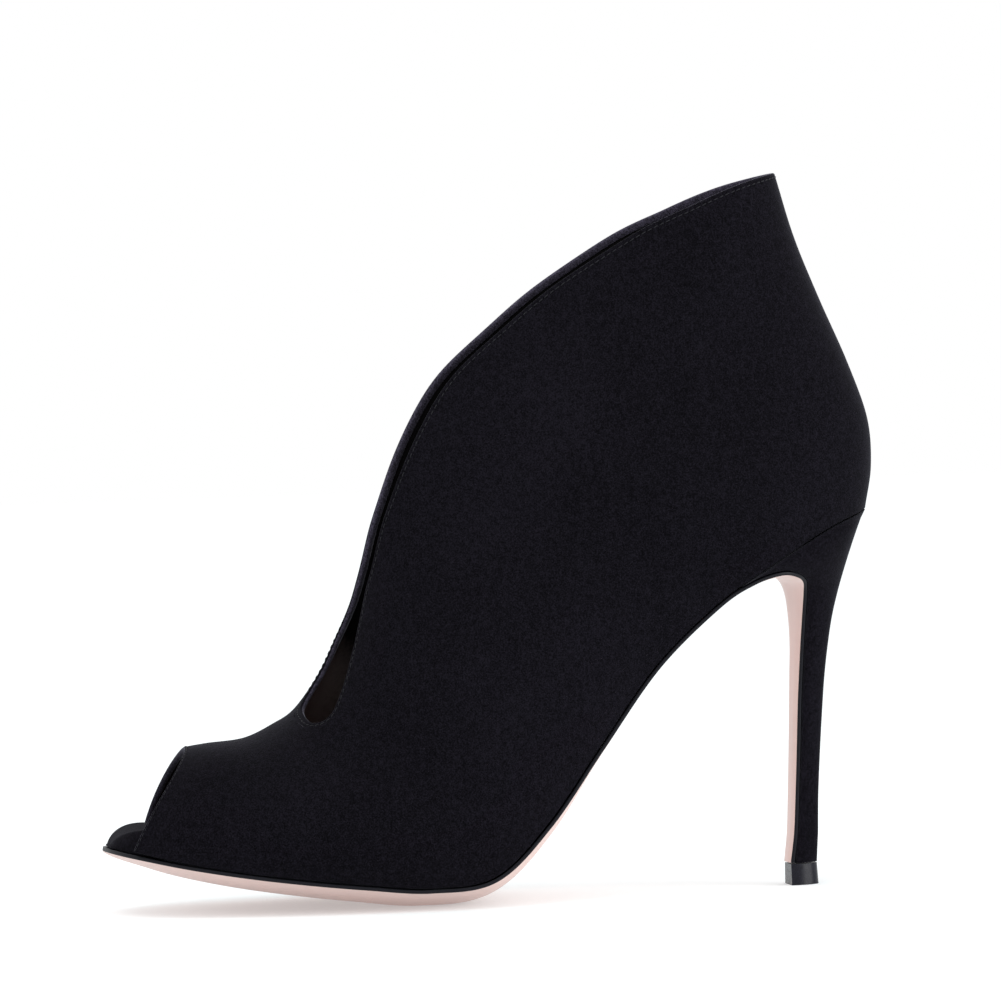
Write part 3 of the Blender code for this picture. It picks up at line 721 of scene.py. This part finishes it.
def platform_stations():
    """The stations of the rows that the platform and the insole share."""
    return [PLATFORM_END * i / PLATFORM_ROWS for i in range(PLATFORM_ROWS + 1)]


def make_platform():
    """The suede-covered platform inside, whose rounded front shows in the toe opening."""
    nose = [NOSE_START * (1 - i / PLATFORM_NOSE) for i in range(PLATFORM_NOSE)]
    rings = []
    for t in nose + platform_stations():
        rings.append(sheet_ring(t, 0.0, platform_height(t), PLATFORM_CORNER))
    return loft("platform", rings)


def make_insole():
    """The sock lining on the platform, the waist and the seat."""
    rings = []
    on_platform = [t for t in platform_stations() if t >= INSOLE_FRONT]
    waist_step = (WEDGE - PLATFORM_END) / WAIST_ROWS
    behind = [PLATFORM_END + waist_step * i for i in range(1, WAIST_ROWS)]
    for t in on_platform + behind:
        lift = platform_height(t) + GAP if t < PLATFORM_END else LEAST + GAP
        rings.append(sheet_ring(t, lift, INSOLE, 0.0))
    y_0, _, near_0, far_0 = seat_rim(WEDGE_FRONT)
    y_1 = seat_rim(BACK_SEAM)[0]
    inset = WALL + 2 * SIDE_ROOM
    stretch = (y_1 - y_0) / (y_1 - y_0 - inset)
    for i in range(1, INSOLE_HEEL_ROWS + 1):
        reach = sin(pi / 2 * INSOLE_REACH * i / INSOLE_HEEL_ROWS)
        y = y_0 + (y_1 - inset - y_0) * reach
        z = seat_at(y)[0]
        _, near, far = seat_at(y_0 + (y - y_0) * stretch)
        near *= 1 - inset / near_0
        far *= 1 - inset / far_0
        low = GAP + LEAST + GAP
        under, top = [], []
        for side_share, x in across(near, far):
            dish = seat_dish((y - y_0) / (y_1 - y_0), side_share)
            under.append((x, y, z + low - dish))
            top.append((x, y, z + low - dish + INSOLE))
        rings.append(under + top[::-1])
    return loft("insole", rings)


# The folded edge, in metres: how far the strip beside an edge reaches, the radius of the fold and
# how deep the stitches pull the suede in. The suede covers the edge and a narrow facing inside.
Fold = namedtuple("Fold", "reach radius dent")
COLLAR_FOLD = Fold(0.00260, 0.00060, 0.00012)
TOE_FOLD = Fold(0.00135, 0.00050, 0.00009)
FEATHER_FOLD = Fold(0.00032, 0.00024, 0.0)
FOLD_SHARES = (1.0, 0.80, 0.64, 0.50, 0.36, 0.18)  # the strip's rows, as shares of its width
FOLD_TURNS = (90, 68, 45, 22, 0, -22, -45, -68, -90)  # the rows round the fold, in degrees
SUEDE_ROWS = len(FOLD_SHARES) + len(FOLD_TURNS)
TOE_PAINTED_LIGHT_ROW = len(FOLD_SHARES) + 1  # the row from which the toe opening's fold is painted lighter, as a painted highlight
COLLAR_PAINTED_LIGHT_ROW = len(FOLD_SHARES) + 3  # the same for the collar and its facing, painted much lighter as a painted highlight
UNDER = 2 * COLUMNS + 1  # how many points of the lower edge lie along the sole
FACING = 0.72  # the facing's width, as a share of the strip's
FACING_STEP = 0.00012
STITCH_SHARE = 0.36  # where the stitches lie on the strip
DENT_SHARE = 0.2  # how far beside them the dent reaches

SUEDE_SLOT, LINING_SLOT, PAINTED_LIGHT_FACING_SLOT, PAINTED_LIGHT_TOE_SLOT = range(4)  # the upper's materials; the last two are lighter copies of the suede, painted highlights on the folds

SQUEEZE = 0.010  # how far from an edge the grid is moved together to make room for the strip
ROW_EASE = 1.3  # the power with which a column moves on from its first station
CALM_ROWS = 20  # over how many rows from the lower edge the evening out sets in
EVEN = [0.50, -0.52] * 24  # steps that even out the surface and keep its size
UNFOLD = [0.5] * 12  # steps that even out the grid on the surface
COLLAR_ROUNDS = 45  # steps that even out the collar's line
COLLAR_LOW, COLLAR_HIGH = (0.085, 0.025), (0.192, 0.012)  # heights where they fade, and over what
UNDER_ROUNDS = 30  # steps that blend the lower edge's fold into the toe opening's
CREASE_START, CREASE_FADE = 0.003, 0.010  # from what distance from an edge creases set in

# Soft troughs (negative) and ridges of the upper, in shares of the boot's own sizes: from and to
# (y of the toe reach, z of the peak's height), width and height in metres.
Crease = namedtuple("Crease", "y_0 z_0 y_1 z_1 width height")
CREASES = [
    Crease(-0.690, 0.250, -0.520, 0.150, 0.0060, -0.00045),
    Crease(-0.640, 0.285, -0.480, 0.205, 0.0070, 0.00030),
    Crease(-0.800, 0.150, -0.640, 0.085, 0.0060, -0.00022),
    Crease(-0.560, 0.520, -0.330, 0.420, 0.0100, -0.00040),
    Crease(-0.470, 0.640, -0.200, 0.560, 0.0110, 0.00035),
    Crease(-0.360, 0.470, -0.080, 0.470, 0.0120, -0.00045),
    Crease(-0.300, 0.740, -0.040, 0.640, 0.0110, -0.00035),
    Crease(-0.130, 0.560, 0.090, 0.640, 0.0080, 0.00030),
    Crease(-0.420, 0.330, -0.250, 0.300, 0.0100, 0.00030),
]
CREASE_END = 0.6  # a crease's height at its ends, as a share of that in its middle


def upper_grid():
    """The outer face's points, their numbers by side, column and row, and its faces."""
    number = np.zeros((2, COLUMNS + 1, RINGS + 1), int)
    points = []
    for s, side in enumerate((1, -1)):
        for c, (low, high, first, last) in enumerate(upper_columns(side)):
            for i in range(RINGS + 1):
                on_ridge = i == RINGS and c <= TOE_COLUMNS
                if side < 0 and (c == COLUMNS or on_ridge):
                    number[1, c, i] = number[0, c, i]
                    continue
                v = i / RINGS
                number[s, c, i] = len(points)
                station = low + (high - low) * v**ROW_EASE
                points.append(outer_point(station, first + (last - first) * v, side))
    sheets = []
    for n in number:
        sheet = np.stack([n[:-1, :-1], n[1:, :-1], n[1:, 1:], n[:-1, 1:]], axis=-1)
        sheets.append(sheet.reshape(-1, 4))
    return np.array(points), number, np.concatenate([sheets[0], sheets[1][:, ::-1]])


def edge_loops(number):
    """The two edges as rings of vertex numbers: round the toe and below, and round the collar."""
    near, far = number
    below = np.concatenate([near[:, 0], far[-2::-1, 0], far[0, 1:], near[0, -2:0:-1]])
    return below, np.concatenate([near[TOE_COLUMNS:, -1], far[-2:TOE_COLUMNS:-1, -1]])


def unit(vectors):
    return vectors / np.maximum(np.linalg.norm(vectors, axis=-1, keepdims=True), 1e-12)


def vertex_normals(points, quads):
    normals = np.zeros_like(points)
    a, b, c, d = (points[quads[:, k]] for k in range(4))
    cross = np.cross(c - a, d - b)
    for k in range(4):
        np.add.at(normals, quads[:, k], cross)
    return unit(normals)


def soften(values, quads, weight, steps):
    """Moves each value toward the mean of its neighbours, by each step times its own weight."""
    pairs = np.concatenate([quads[:, [k, (k + 1) % 4]] for k in range(4)])
    count = np.bincount(pairs.ravel(), minlength=len(values))[:, None]
    for step in steps:
        total = np.zeros_like(values)
        np.add.at(total, pairs[:, 0], values[pairs[:, 1]])
        np.add.at(total, pairs[:, 1], values[pairs[:, 0]])
        values = values + step * weight * (total / count - values)
    return values


def spread(values, rounds):
    """Evens out values round a ring."""
    for _ in range(rounds):
        values = (np.roll(values, 1, axis=0) + 2 * values + np.roll(values, -1, axis=0)) / 4
    return values


def on_surface(tree, points):
    """The nearest places on a surface, and its normals there."""
    found = [tree.find_nearest(Vector(point))[:2] for point in points]
    return np.array([place for place, _ in found]), np.array([normal for _, normal in found])


def closest(point, others):
    """The nearest of the other points: its number, the way from it and how long that is."""
    away = point - others
    squares = np.einsum("ij,ij->i", away, away)
    k = int(squares.argmin())
    return k, away[k], sqrt(squares[k])


def crease_height(points):
    """How far the troughs and ridges push the surface out at each point."""
    peak = HEEL_HEIGHT + SHAFT_RISE
    height = np.zeros(len(points))
    for crease in CREASES:
        start = np.array([crease.y_0 * TOE_REACH, crease.z_0 * peak])
        run = np.array([crease.y_1 * TOE_REACH, crease.z_1 * peak]) - start
        offset = points[:, 1:] - start
        along = np.clip(offset @ run / (run @ run), 0, 1)
        away = np.linalg.norm(offset - along[:, None] * run, axis=1) / crease.width
        middle = CREASE_END + (1 - CREASE_END) * np.sin(pi * along)
        height += crease.height * np.exp(-(away**2)) * middle
    return height


Strip = namedtuple("Strip", "loop here out normal sizes")


def edge_strip(points, quads, loop, sizes):
    """An edge with its outward and normal directions and the sizes of its fold."""
    here = points[loop]
    along = unit(np.roll(here, -1, axis=0) - np.roll(here, 1, axis=0))
    normal = unit(spread(vertex_normals(points, quads)[loop], 3))
    out = np.cross(along, normal)
    inside = soften(points, quads, 1.0, [1.0])[loop]
    out *= np.sign(np.einsum("ij,ij->i", out, here - inside).sum())
    return Strip(loop, here, unit(spread(out, 2)), normal, sizes)


def fold_rows(reach, radius, dent):
    """The strip's section beside an edge: each row's distance out from the edge, and its height."""
    rows = []
    for share in FOLD_SHARES:
        sink = dent * max(1 - abs(share - STITCH_SHARE) / DENT_SHARE, 0)
        rows.append((-(radius + (reach - radius) * share), -sink))
    for turn in FOLD_TURNS:
        a = radians(turn)
        rows.append((radius * (cos(a) - 1), WALL / 2 * (sin(a) - 1)))
    facing = radius + (reach - radius) * FACING
    rows.append((-facing, -WALL - FACING_STEP))
    rows.append((-facing - FACING_STEP, -WALL))
    rows.append((-reach, -WALL))
    return rows


def make_upper(*materials):
    """The hollow shell: suede, lining painted near black as painted shade away from the throat, and the
    collar's facing and the toe opening's fold in lighter suede as painted highlights.
    """
    points, number, quads = upper_grid()
    below, collar = edge_loops(number)
    height = points[collar][:, 2:]
    share = np.clip((height - COLLAR_LOW[0]) / COLLAR_LOW[1], 0, 1)
    share *= np.clip((COLLAR_HIGH[0] - height) / COLLAR_HIGH[1], 0, 1)
    points[collar] += share * (spread(points[collar], COLLAR_ROUNDS) - points[collar])
    weight = np.ones((len(points), 1))
    for row in range(CALM_ROWS):
        weight[number[:, :, row]] = (row / CALM_ROWS) ** 2
    weight[below] = weight[collar] = 0
    points = soften(points, quads, weight, EVEN)
    tree = BVHTree.FromPolygons(points.tolist(), quads.tolist())

    under = spread((np.arange(len(below)) < UNDER).astype(float), UNDER_ROUNDS)[:, None]
    below_sizes = np.array(FEATHER_FOLD) * under + np.array(TOE_FOLD) * (1 - under)
    collar_sizes = np.tile(np.array(COLLAR_FOLD), (len(collar), 1))
    strips = [edge_strip(points, quads, below, below_sizes),
              edge_strip(points, quads, collar, collar_sizes)]

    grid = points.copy()
    edges = np.concatenate([strip.here for strip in strips])
    reach = np.concatenate([strip.sizes[:, 0] for strip in strips])
    for index, point in enumerate(points):
        k, away, distance = closest(point, edges)
        if 0 < distance < SQUEEZE:
            wanted = reach[k] + distance * (SQUEEZE - reach[k]) / SQUEEZE
            grid[index] = edges[k] + away / distance * wanted
    for strip in strips:
        grid[strip.loop] = strip.here - strip.out * strip.sizes[:, :1]
    grid, _ = on_surface(tree, grid)
    grid, normals = on_surface(tree, soften(grid, quads, np.sign(weight), UNFOLD))
    normals = unit(soften(normals, quads, 1.0, UNFOLD[:4]))
    depth = np.array([closest(point, edges)[2] for point in grid])
    fade = np.clip((depth - CREASE_START) / CREASE_FADE, 0, 1)
    fade = fade * fade * (3 - 2 * fade)
    grid = grid + normals * (crease_height(grid) * fade)[:, None]

    vertices = grid.tolist() + (grid - normals * WALL).tolist()
    first_inner = len(grid)
    faces = quads.tolist() + (quads[:, ::-1] + first_inner).tolist()
    slots = [SUEDE_SLOT] * len(quads) + [LINING_SLOT] * len(quads)
    seams = []
    for loop, here, out, normal, sizes in strips:
        rows = [loop]
        reach, radius, _ = sizes.T
        for k, (u, n) in list(enumerate(fold_rows(*sizes.T)))[1:-1]:
            base, up = here + out * np.reshape(u, (-1, 1)), normal
            if k < len(FOLD_SHARES) or k >= SUEDE_ROWS:
                base, up = on_surface(tree, base)
            rows.append(np.arange(len(vertices), len(vertices) + len(loop)))
            vertices += (base + up * np.reshape(n, (-1, 1))).tolist()
        ring = np.array(rows + [loop + first_inner])
        beside = np.roll(ring, -1, axis=1)
        bands = np.stack([ring[:-1], beside[:-1], beside[1:], ring[1:]], axis=-1)
        faces += bands.reshape(-1, 4).tolist()
        slot = np.full((len(ring) - 1, len(loop)), SUEDE_SLOT)
        slot[SUEDE_ROWS:] = LINING_SLOT
        if loop is collar:
            # the collar's inner fold and facing get much lighter suede: a painted highlight
            slot[COLLAR_PAINTED_LIGHT_ROW:SUEDE_ROWS] = PAINTED_LIGHT_FACING_SLOT
        else:
            # the toe opening's fold gets lighter suede: a painted highlight
            slot[TOE_PAINTED_LIGHT_ROW:SUEDE_ROWS, UNDER:] = PAINTED_LIGHT_TOE_SLOT
        slots += slot.ravel().tolist()
        stitches = (radius + (reach - radius) * STITCH_SHARE)[:, None]
        seams.append(np.array([on_surface(tree, here - out * stitches)[0], normal]))
    return add_mesh("upper_shell", vertices, faces, materials, slots, sharp=180), seams


# The row of stitches, in metres, and how one stitch is built up from rings of points.
Stitch = namedtuple("Stitch", "pitch length radius")
TOE_STITCH = Stitch(0.00165, 0.00125, 0.00013)
COLLAR_STITCH = Stitch(0.00190, 0.00145, 0.00015)
STITCH_RINGS = 7
STITCH_SIDES = 6
STITCH_RISE = 0.55  # its middle's height over the suede, as a share of its radius
STITCH_SLANT = 0.35  # how far it lies aslant, as a share of its radius
STITCH_FLAT = 0.8  # its thickness, as a share of its width
STITCH_TIP = 0.04


def stitch_row(name, line, normals, stitch, material):
    """A row of short raised stitches along a line on the surface."""
    run = np.concatenate([[0], np.cumsum(np.linalg.norm(np.diff(line, axis=0), axis=1))])
    count = int(round(run[-1] / stitch.pitch))
    half, radius = stitch.length / 2, stitch.radius
    vertices, faces = [], []
    for k in range(count):
        centre = run[-1] * (k + 0.5) / count
        back, middle, ahead = (
            np.array([np.interp(s, run, line[:, a]) for a in range(3)])
            for s in (centre - half, centre, centre + half))
        up = unit(np.array([np.interp(centre, run, normals[:, a]) for a in range(3)]))
        along = unit(ahead - back)
        beside = np.cross(up, along)
        rings = []
        for j in range(STITCH_RINGS):
            f = 2 * j / (STITCH_RINGS - 1) - 1
            place = middle + along * f * half + up * radius * (STITCH_RISE - f * f)
            place = place + beside * f * radius * STITCH_SLANT
            r = radius * sqrt(max(1 - f**4, STITCH_TIP))
            ring = []
            for i in range(STITCH_SIDES):
                a = 2 * pi * i / STITCH_SIDES
                ring.append(tuple(place + r * (cos(a) * beside + STITCH_FLAT * sin(a) * up)))
            rings.append(ring)
        solid, sides = capped(rings)
        faces += [tuple(len(vertices) + v for v in face) for face in sides]
        vertices += solid
    return add_mesh(name, vertices, faces, (material,))


# The sole's rounded corner, in metres, and the points of its side: how far inside the edge each
# lies and how far down, in shares of the corner, and which share of the edge's height it adds.
SOLE_CORNER = 0.00028
CORNER_SHARE = 0.3  # the most that it takes up of a half width
SOLE_SIDE = ((0.30, -0.30, 1.0), (0.0, -1.0, 1.0), (0.0, 0.0, 0.5), (0.0, 1.0, 0.0), (0.30, 0.30, 0.0))


def sole_ring(t):
    """The sole's section with rounded corners: underside, near edge, top and far edge."""
    (y, z), normal, (near, far), bulge = sole_outline(t)
    centre = centre_at(t)
    down_heel = min(max((t - WEDGE) / BREAST_TURN, 0), 1)
    middle = SOLE_MIDDLE + (BREAST_MIDDLE - SOLE_MIDDLE) * down_heel
    middle = min(middle, max(bulge, BREAST_MIDDLE * down_heel))
    corner = min(SOLE_CORNER, CORNER_SHARE * min(near, far))

    def place(x, down):
        return centre + x, y - down * normal[0], max(z - down * normal[1], 0.0)

    under, top = [], []
    for share, _ in across(near, far):
        half = near if share > 0 else far
        x = share * (half - corner)
        drop = belly(x / half)
        dish = max(bulge - middle, 0) * drop
        under.append(place(x, SOLE_EDGE + middle * drop + dish))
        top.append(place(x, dish))
    sides = []
    for half, sign in ((near, 1), (far, -1)):
        sides.append([place(sign * (half - inset * corner), down * corner + height * SOLE_EDGE)
                      for inset, down, height in SOLE_SIDE])
    return under + sides[0] + top[::-1] + sides[1][::-1]


def make_sole(leather, paint):
    """The leather sole with its painted edge."""
    ahead = [-1 + i / NOSE_ROWS for i in range(NOSE_ROWS)]
    under_foot = [t for t in LOWER if t < WEDGE]
    last = len(EDGE) - 1
    steps = int((last - WEDGE) * HEEL_STEPS)
    down = [WEDGE + (last - WEDGE) * i / steps for i in range(steps + 1)]
    rings = [sole_ring(t) for t in ahead + under_foot + down]
    vertices, faces = capped(rings)
    slots = ([0] * ACROSS + [1] * (len(rings[0]) - ACROSS)) * (len(rings) - 1) + [1, 0]
    return add_mesh("sole", vertices, faces, (leather, paint), slots, sharp=60)


def dressed(obj, material, corner=0.0, segments=3):
    """An object with its material and, where a width is given, rounded corners."""
    obj.data.materials.append(material)
    if corner:
        bevel = obj.modifiers.new("round", "BEVEL")
        bevel.width = corner
        bevel.segments = segments
        bevel.limit_method = "ANGLE"
        bevel.angle_limit = radians(45)
        bevel.harden_normals = False
    return obj


# Materials. Colours are linear.
# Where the lining shows brown: a painted pool of light behind the throat; away from it the lining is
# painted near black as painted shade.
LINING_LIT_CENTRE = (-0.010, -0.138, 0.052)
LINING_LIT_REACH = 0.028


class Shader:
    """A material with a Principled shader and helpers that add and join nodes."""

    def __init__(self, name, **sockets):
        self.material = bpy.data.materials.new(name)
        self.material.use_nodes = True
        self.tree = self.material.node_tree
        self.main = self.tree.nodes["Principled BSDF"]
        self.fill(self.main, sockets)
        self.place = self.tree.nodes.new("ShaderNodeTexCoord").outputs["Object"]

    def fill(self, node, sockets):
        """Links each socket to the output that is given for it, or sets it to the value."""
        for name, value in sockets.items():
            socket = node.inputs[name.replace("_", " ")]
            if isinstance(value, bpy.types.NodeSocket):
                self.tree.links.new(value, socket)
            else:
                socket.default_value = value

    def add(self, kind, **sockets):
        node = self.tree.nodes.new(kind)
        self.fill(node, sockets)
        return node

    def mapped(self, scale, location):
        return self.add("ShaderNodeMapping", Vector=self.place, Scale=scale, Location=location).outputs[0]

    def noise(self, scale, detail=2.0, roughness=0.6, distortion=0.0, stretch=(1, 1, 1), seed=0.0):
        return self.add("ShaderNodeTexNoise", Vector=self.mapped(stretch, (seed,) * 3), Scale=scale,
                        Detail=detail, Roughness=roughness, Distortion=distortion).outputs["Fac"]

    def cells(self, scale):
        return self.add("ShaderNodeTexVoronoi", Vector=self.place, Scale=scale).outputs["Distance"]

    def spot(self, centre, radius):
        """One at a point of the boot, falling to nothing at a distance from it."""
        vector = self.mapped((1 / radius,) * 3, scaled(centre, -1 / radius))
        gradient = self.add("ShaderNodeTexGradient", Vector=vector)
        gradient.gradient_type = "SPHERICAL"
        return gradient.outputs["Fac"]

    def weigh(self, *terms):
        """The sum of outputs times their weights."""
        total = None
        for output, weight in terms:
            times = self.tree.nodes.new("ShaderNodeMath")
            times.operation = "MULTIPLY" if total is None else "MULTIPLY_ADD"
            self.tree.links.new(output, times.inputs[0])
            times.inputs[1].default_value = weight
            if total is not None:
                self.tree.links.new(total, times.inputs[2])
            total = times.outputs[0]
        return total

    def paint(self, source, *stops):
        """Colours the surface by an output, with colours at places between 0 and 1."""
        ramp = self.add("ShaderNodeValToRGB", Fac=source)
        elements = ramp.color_ramp.elements
        while len(elements) < len(stops):
            elements.new(0.5)
        for element, (place, colour) in zip(elements, stops):
            element.position = place
            element.color = (*colour, 1.0)
        self.fill(self.main, {"Base Color": ramp.outputs["Color"]})

    def bump(self, source, strength, distance):
        bump = self.add("ShaderNodeBump", Height=source, Strength=strength, Distance=distance)
        self.fill(self.main, {"Normal": bump.outputs["Normal"]})

    def vary_roughness(self, source, low, high):
        span = self.add("ShaderNodeMapRange", Value=source, From_Min=0.3, From_Max=0.7,
                        To_Min=low, To_Max=high)
        self.fill(self.main, {"Roughness": span.outputs["Result"]})


def scaled(colour, factor):
    return tuple(c * factor for c in colour)


def suede(name, colour, seed=0.0, gloss=0.04, sheen=0.08):
    """Napped black leather: fine fibres, brushed patches and a soft sheen at its edges."""
    look = Shader(name, Roughness=1.0, Specular_IOR_Level=gloss, Sheen_Weight=sheen,
                  Sheen_Roughness=0.32, Sheen_Tint=(0.84, 0.84, 1.0, 1.0))
    fibres = look.noise(2300.0, 2.0, 0.7, seed=seed)
    tufts = look.noise(620.0, 3.0, 0.6, 0.3, seed=seed + 3.1)
    patches = look.noise(24.0, 2.0, 0.5, 0.8, stretch=(1.0, 1.0, 0.6), seed=seed + 7.7)
    mix = look.weigh((fibres, 0.64), (tufts, 0.24), (patches, 0.12))
    look.paint(mix, (0.40, scaled(colour, 0.38)), (0.5, colour), (0.60, scaled(colour, 1.9)))
    look.bump(look.weigh((fibres, 0.6), (tufts, 0.4)), 0.6, 0.00024)
    return look.material


def lining_with_painted_shade(name, painted_shade, brown):
    """The lining: brown round a point behind the throat as a painted pool of light, painted near black
    toward the collar and the toe as painted shade.
    """
    look = Shader(name, Roughness=0.7, Specular_IOR_Level=0.1)
    grain = look.noise(900.0, 3.0, 0.6)
    spot = look.spot(LINING_LIT_CENTRE, LINING_LIT_REACH)
    look.paint(look.weigh((spot, 0.85), (grain, 0.15)), (0.12, painted_shade), (0.50, brown))
    look.bump(grain, 0.3, 0.0002)
    return look.material


def grained(name, colour, roughness, grain, strength, coat=0.0, mottle=0.12):
    """Smooth leather with a fine grain."""
    look = Shader(name, Roughness=roughness, Coat_Weight=coat, Coat_Roughness=0.25)
    pores = look.cells(grain)
    fine = look.noise(grain * 2.2, 2.0)
    broad = look.noise(34.0, 3.0, 0.5)
    look.paint(look.weigh((broad, 0.7), (fine, 0.3)), (0.36, scaled(colour, 1 - mottle)),
               (0.64, scaled(colour, 1 + mottle)))
    look.vary_roughness(broad, roughness * 0.85, roughness * 1.15)
    look.bump(look.weigh((pores, 0.6), (fine, 0.4)), strength, 0.0002)
    return look.material


def glossy(name, colour, roughness, gloss, wave):
    """Paint or plastic with a slight unevenness."""
    look = Shader(name, Roughness=roughness, Specular_IOR_Level=gloss)
    broad = look.noise(160.0, 2.0, 0.5)
    fine = look.noise(900.0, 2.0, 0.5)
    look.paint(fine, (0.3, scaled(colour, 0.8)), (0.7, scaled(colour, 1.2)))
    look.vary_roughness(fine, roughness * 0.8, roughness * 1.25)
    look.bump(broad, wave, 0.0002)
    return look.material


def twisted(name, colour):
    """Sewing thread."""
    look = Shader(name, Roughness=0.8, Specular_IOR_Level=0.2, Sheen_Weight=0.08)
    strands = look.noise(5200.0, 1.0)
    look.paint(strands, (0.35, scaled(colour, 0.6)), (0.65, scaled(colour, 1.5)))
    look.bump(strands, 0.3, 0.0001)
    return look.material


def pale_floor():
    look = Shader("floor", Base_Color=(0.76, 0.80, 0.81, 1.0), Roughness=1.0, Specular_IOR_Level=0.0,
                  Emission_Color=(1.0, 1.0, 1.0, 1.0), Emission_Strength=0.27)
    return look.material


def make_pieces():
    """Every piece of the boot, with the solid it replaces, if any, and the solid it belongs to."""
    black = (0.0045, 0.0040, 0.0060)
    # The lining's near-black colour is painted shade; its brown shows only near the throat as painted
    # light.
    lining = lining_with_painted_shade("lining", (0.004, 0.0034, 0.004), (0.200, 0.165, 0.162))
    # Lighter copies of the suede, 8.5 and 3.2 times as bright, for the collar's facing and the toe
    # opening's fold: painted highlights.
    facing = suede("facing_suede_painted_light", scaled(black, 8.5), 1.0, 0.2, 0.25)
    painted_light_toe_fold = suede("folded_suede_painted_light", scaled(black, 3.2), 4.0, 0.1, 0.16)
    shell, (toe, collar) = make_upper(suede("black_suede", black), lining, facing, painted_light_toe_fold)
    thread = twisted("black_thread", (0.007, 0.007, 0.010))
    over_toe = np.append(np.arange(UNDER, len(toe[0])), 0)
    round_collar = np.append(np.arange(len(collar[0])), 0)
    toe_row = stitch_row("toe_stitches", *toe[:, over_toe], TOE_STITCH, thread)
    collar_row = stitch_row("collar_stitches", *collar[:, round_collar], COLLAR_STITCH, thread)
    sole = make_sole(grained("nude_leather", (0.660, 0.490, 0.452), 0.42, 1500.0, 0.12, 0.10, 0.05),
                     glossy("edge_paint", (0.005, 0.005, 0.008), 0.40, 0.14, 0.15))
    heel = dressed(make_heel(), suede("heel_suede", black, 2.0), 0.00018)
    # The platform's suede is painted a tenth darker than the upper's: painted shade in the toe opening.
    cover = suede("platform_suede_painted_shade", scaled(black, 0.9), 5.0, 0.04, 0.06)
    platform = dressed(make_platform(), cover, 0.00080)
    sock = grained("sock_leather", (0.120, 0.045, 0.028), 0.48, 1200.0, 0.22, 0.08)
    insole = dressed(make_insole(), sock)
    plastic = glossy("tip_plastic", (0.004, 0.004, 0.009), 0.26, 0.20, 0.05)
    tip = dressed(make_heel_tip(), plastic, 0.00022, 4)
    return [
        (shell, "upper", "upper"),
        (toe_row, None, "upper"),
        (collar_row, None, "upper"),
        (sole, "outsole", "outsole"),
        (heel, "heel", "heel"),
        (platform, "platform", "platform"),
        (insole, "insole", "insole"),
        (tip, "heel_tip", "heel_tip"),
    ]


# The camera stands a little ahead of square to the outer side and just above the floor.
CAMERA_TARGET = Vector((-0.00006, -0.08340, 0.11157))
CAMERA_DISTANCE = 1.8
CAMERA_AHEAD = radians(10.0)
CAMERA_HEIGHT = radians(1.2)
CAMERA_ROLL = radians(1.9)
CAMERA_LENS = 230.8  # in millimetres, like the sensor's width
CAMERA_SENSOR = 36.0


def make_camera():
    data = bpy.data.cameras.new("camera")
    data.lens = CAMERA_LENS
    data.sensor_width = CAMERA_SENSOR
    data.clip_end = 50.0
    camera = add_object("camera", data)
    level = cos(CAMERA_HEIGHT)
    out = Vector((cos(CAMERA_AHEAD) * level, -sin(CAMERA_AHEAD) * level, sin(CAMERA_HEIGHT)))
    right = Vector((sin(CAMERA_AHEAD), cos(CAMERA_AHEAD), 0.0))
    up = out.cross(right)
    rolled_right = right * cos(CAMERA_ROLL) - up * sin(CAMERA_ROLL)
    rolled_up = up * cos(CAMERA_ROLL) + right * sin(CAMERA_ROLL)
    turn = Matrix((rolled_right, rolled_up, out)).transposed()
    camera.matrix_world = Matrix.Translation(CAMERA_TARGET + out * CAMERA_DISTANCE) @ turn.to_4x4()
    bpy.context.scene.camera = camera


def make_light(name, place, aim, size, power):
    data = bpy.data.lights.new(name, "AREA")
    data.shape = "DISK"
    data.size = size
    data.energy = power
    light = add_object(name, data)
    light.location = place
    light.rotation_euler = (Vector(aim) - Vector(place)).to_track_quat("-Z", "Y").to_euler()


FLOOR_RADIUS = 6.0
FLOOR_SIDES = 96


def make_studio():
    """A pale floor under soft light from above and all round."""
    mesh = bpy.data.meshes.new("floor")
    turns = [2 * pi * i / FLOOR_SIDES for i in range(FLOOR_SIDES)]
    ring = [(FLOOR_RADIUS * cos(turn), FLOOR_RADIUS * sin(turn), 0.0) for turn in turns]
    mesh.from_pydata(ring, [], [tuple(range(FLOOR_SIDES))])
    mesh.materials.append(pale_floor())
    floor = add_object("floor", mesh)
    world = bpy.data.worlds.new("studio")
    world.use_nodes = True
    background = world.node_tree.nodes["Background"].inputs
    background["Color"].default_value = (1.0, 1.0, 1.0, 1.0)
    background["Strength"].default_value = 1.0
    bpy.context.scene.world = world
    make_light("overhead", (0.35, -0.55, 1.55), (0.0, -0.08, 0.08), 1.0, 6.0)
    make_light("behind", (0.85, 1.15, 0.30), (0.0, -0.02, 0.06), 0.8, 11.0)
    bpy.context.scene.view_settings.view_transform = "Standard"


for piece, node, cad_slot in make_pieces():
    if node:
        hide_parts(node)
    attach(piece, "root")
make_studio()
make_camera()
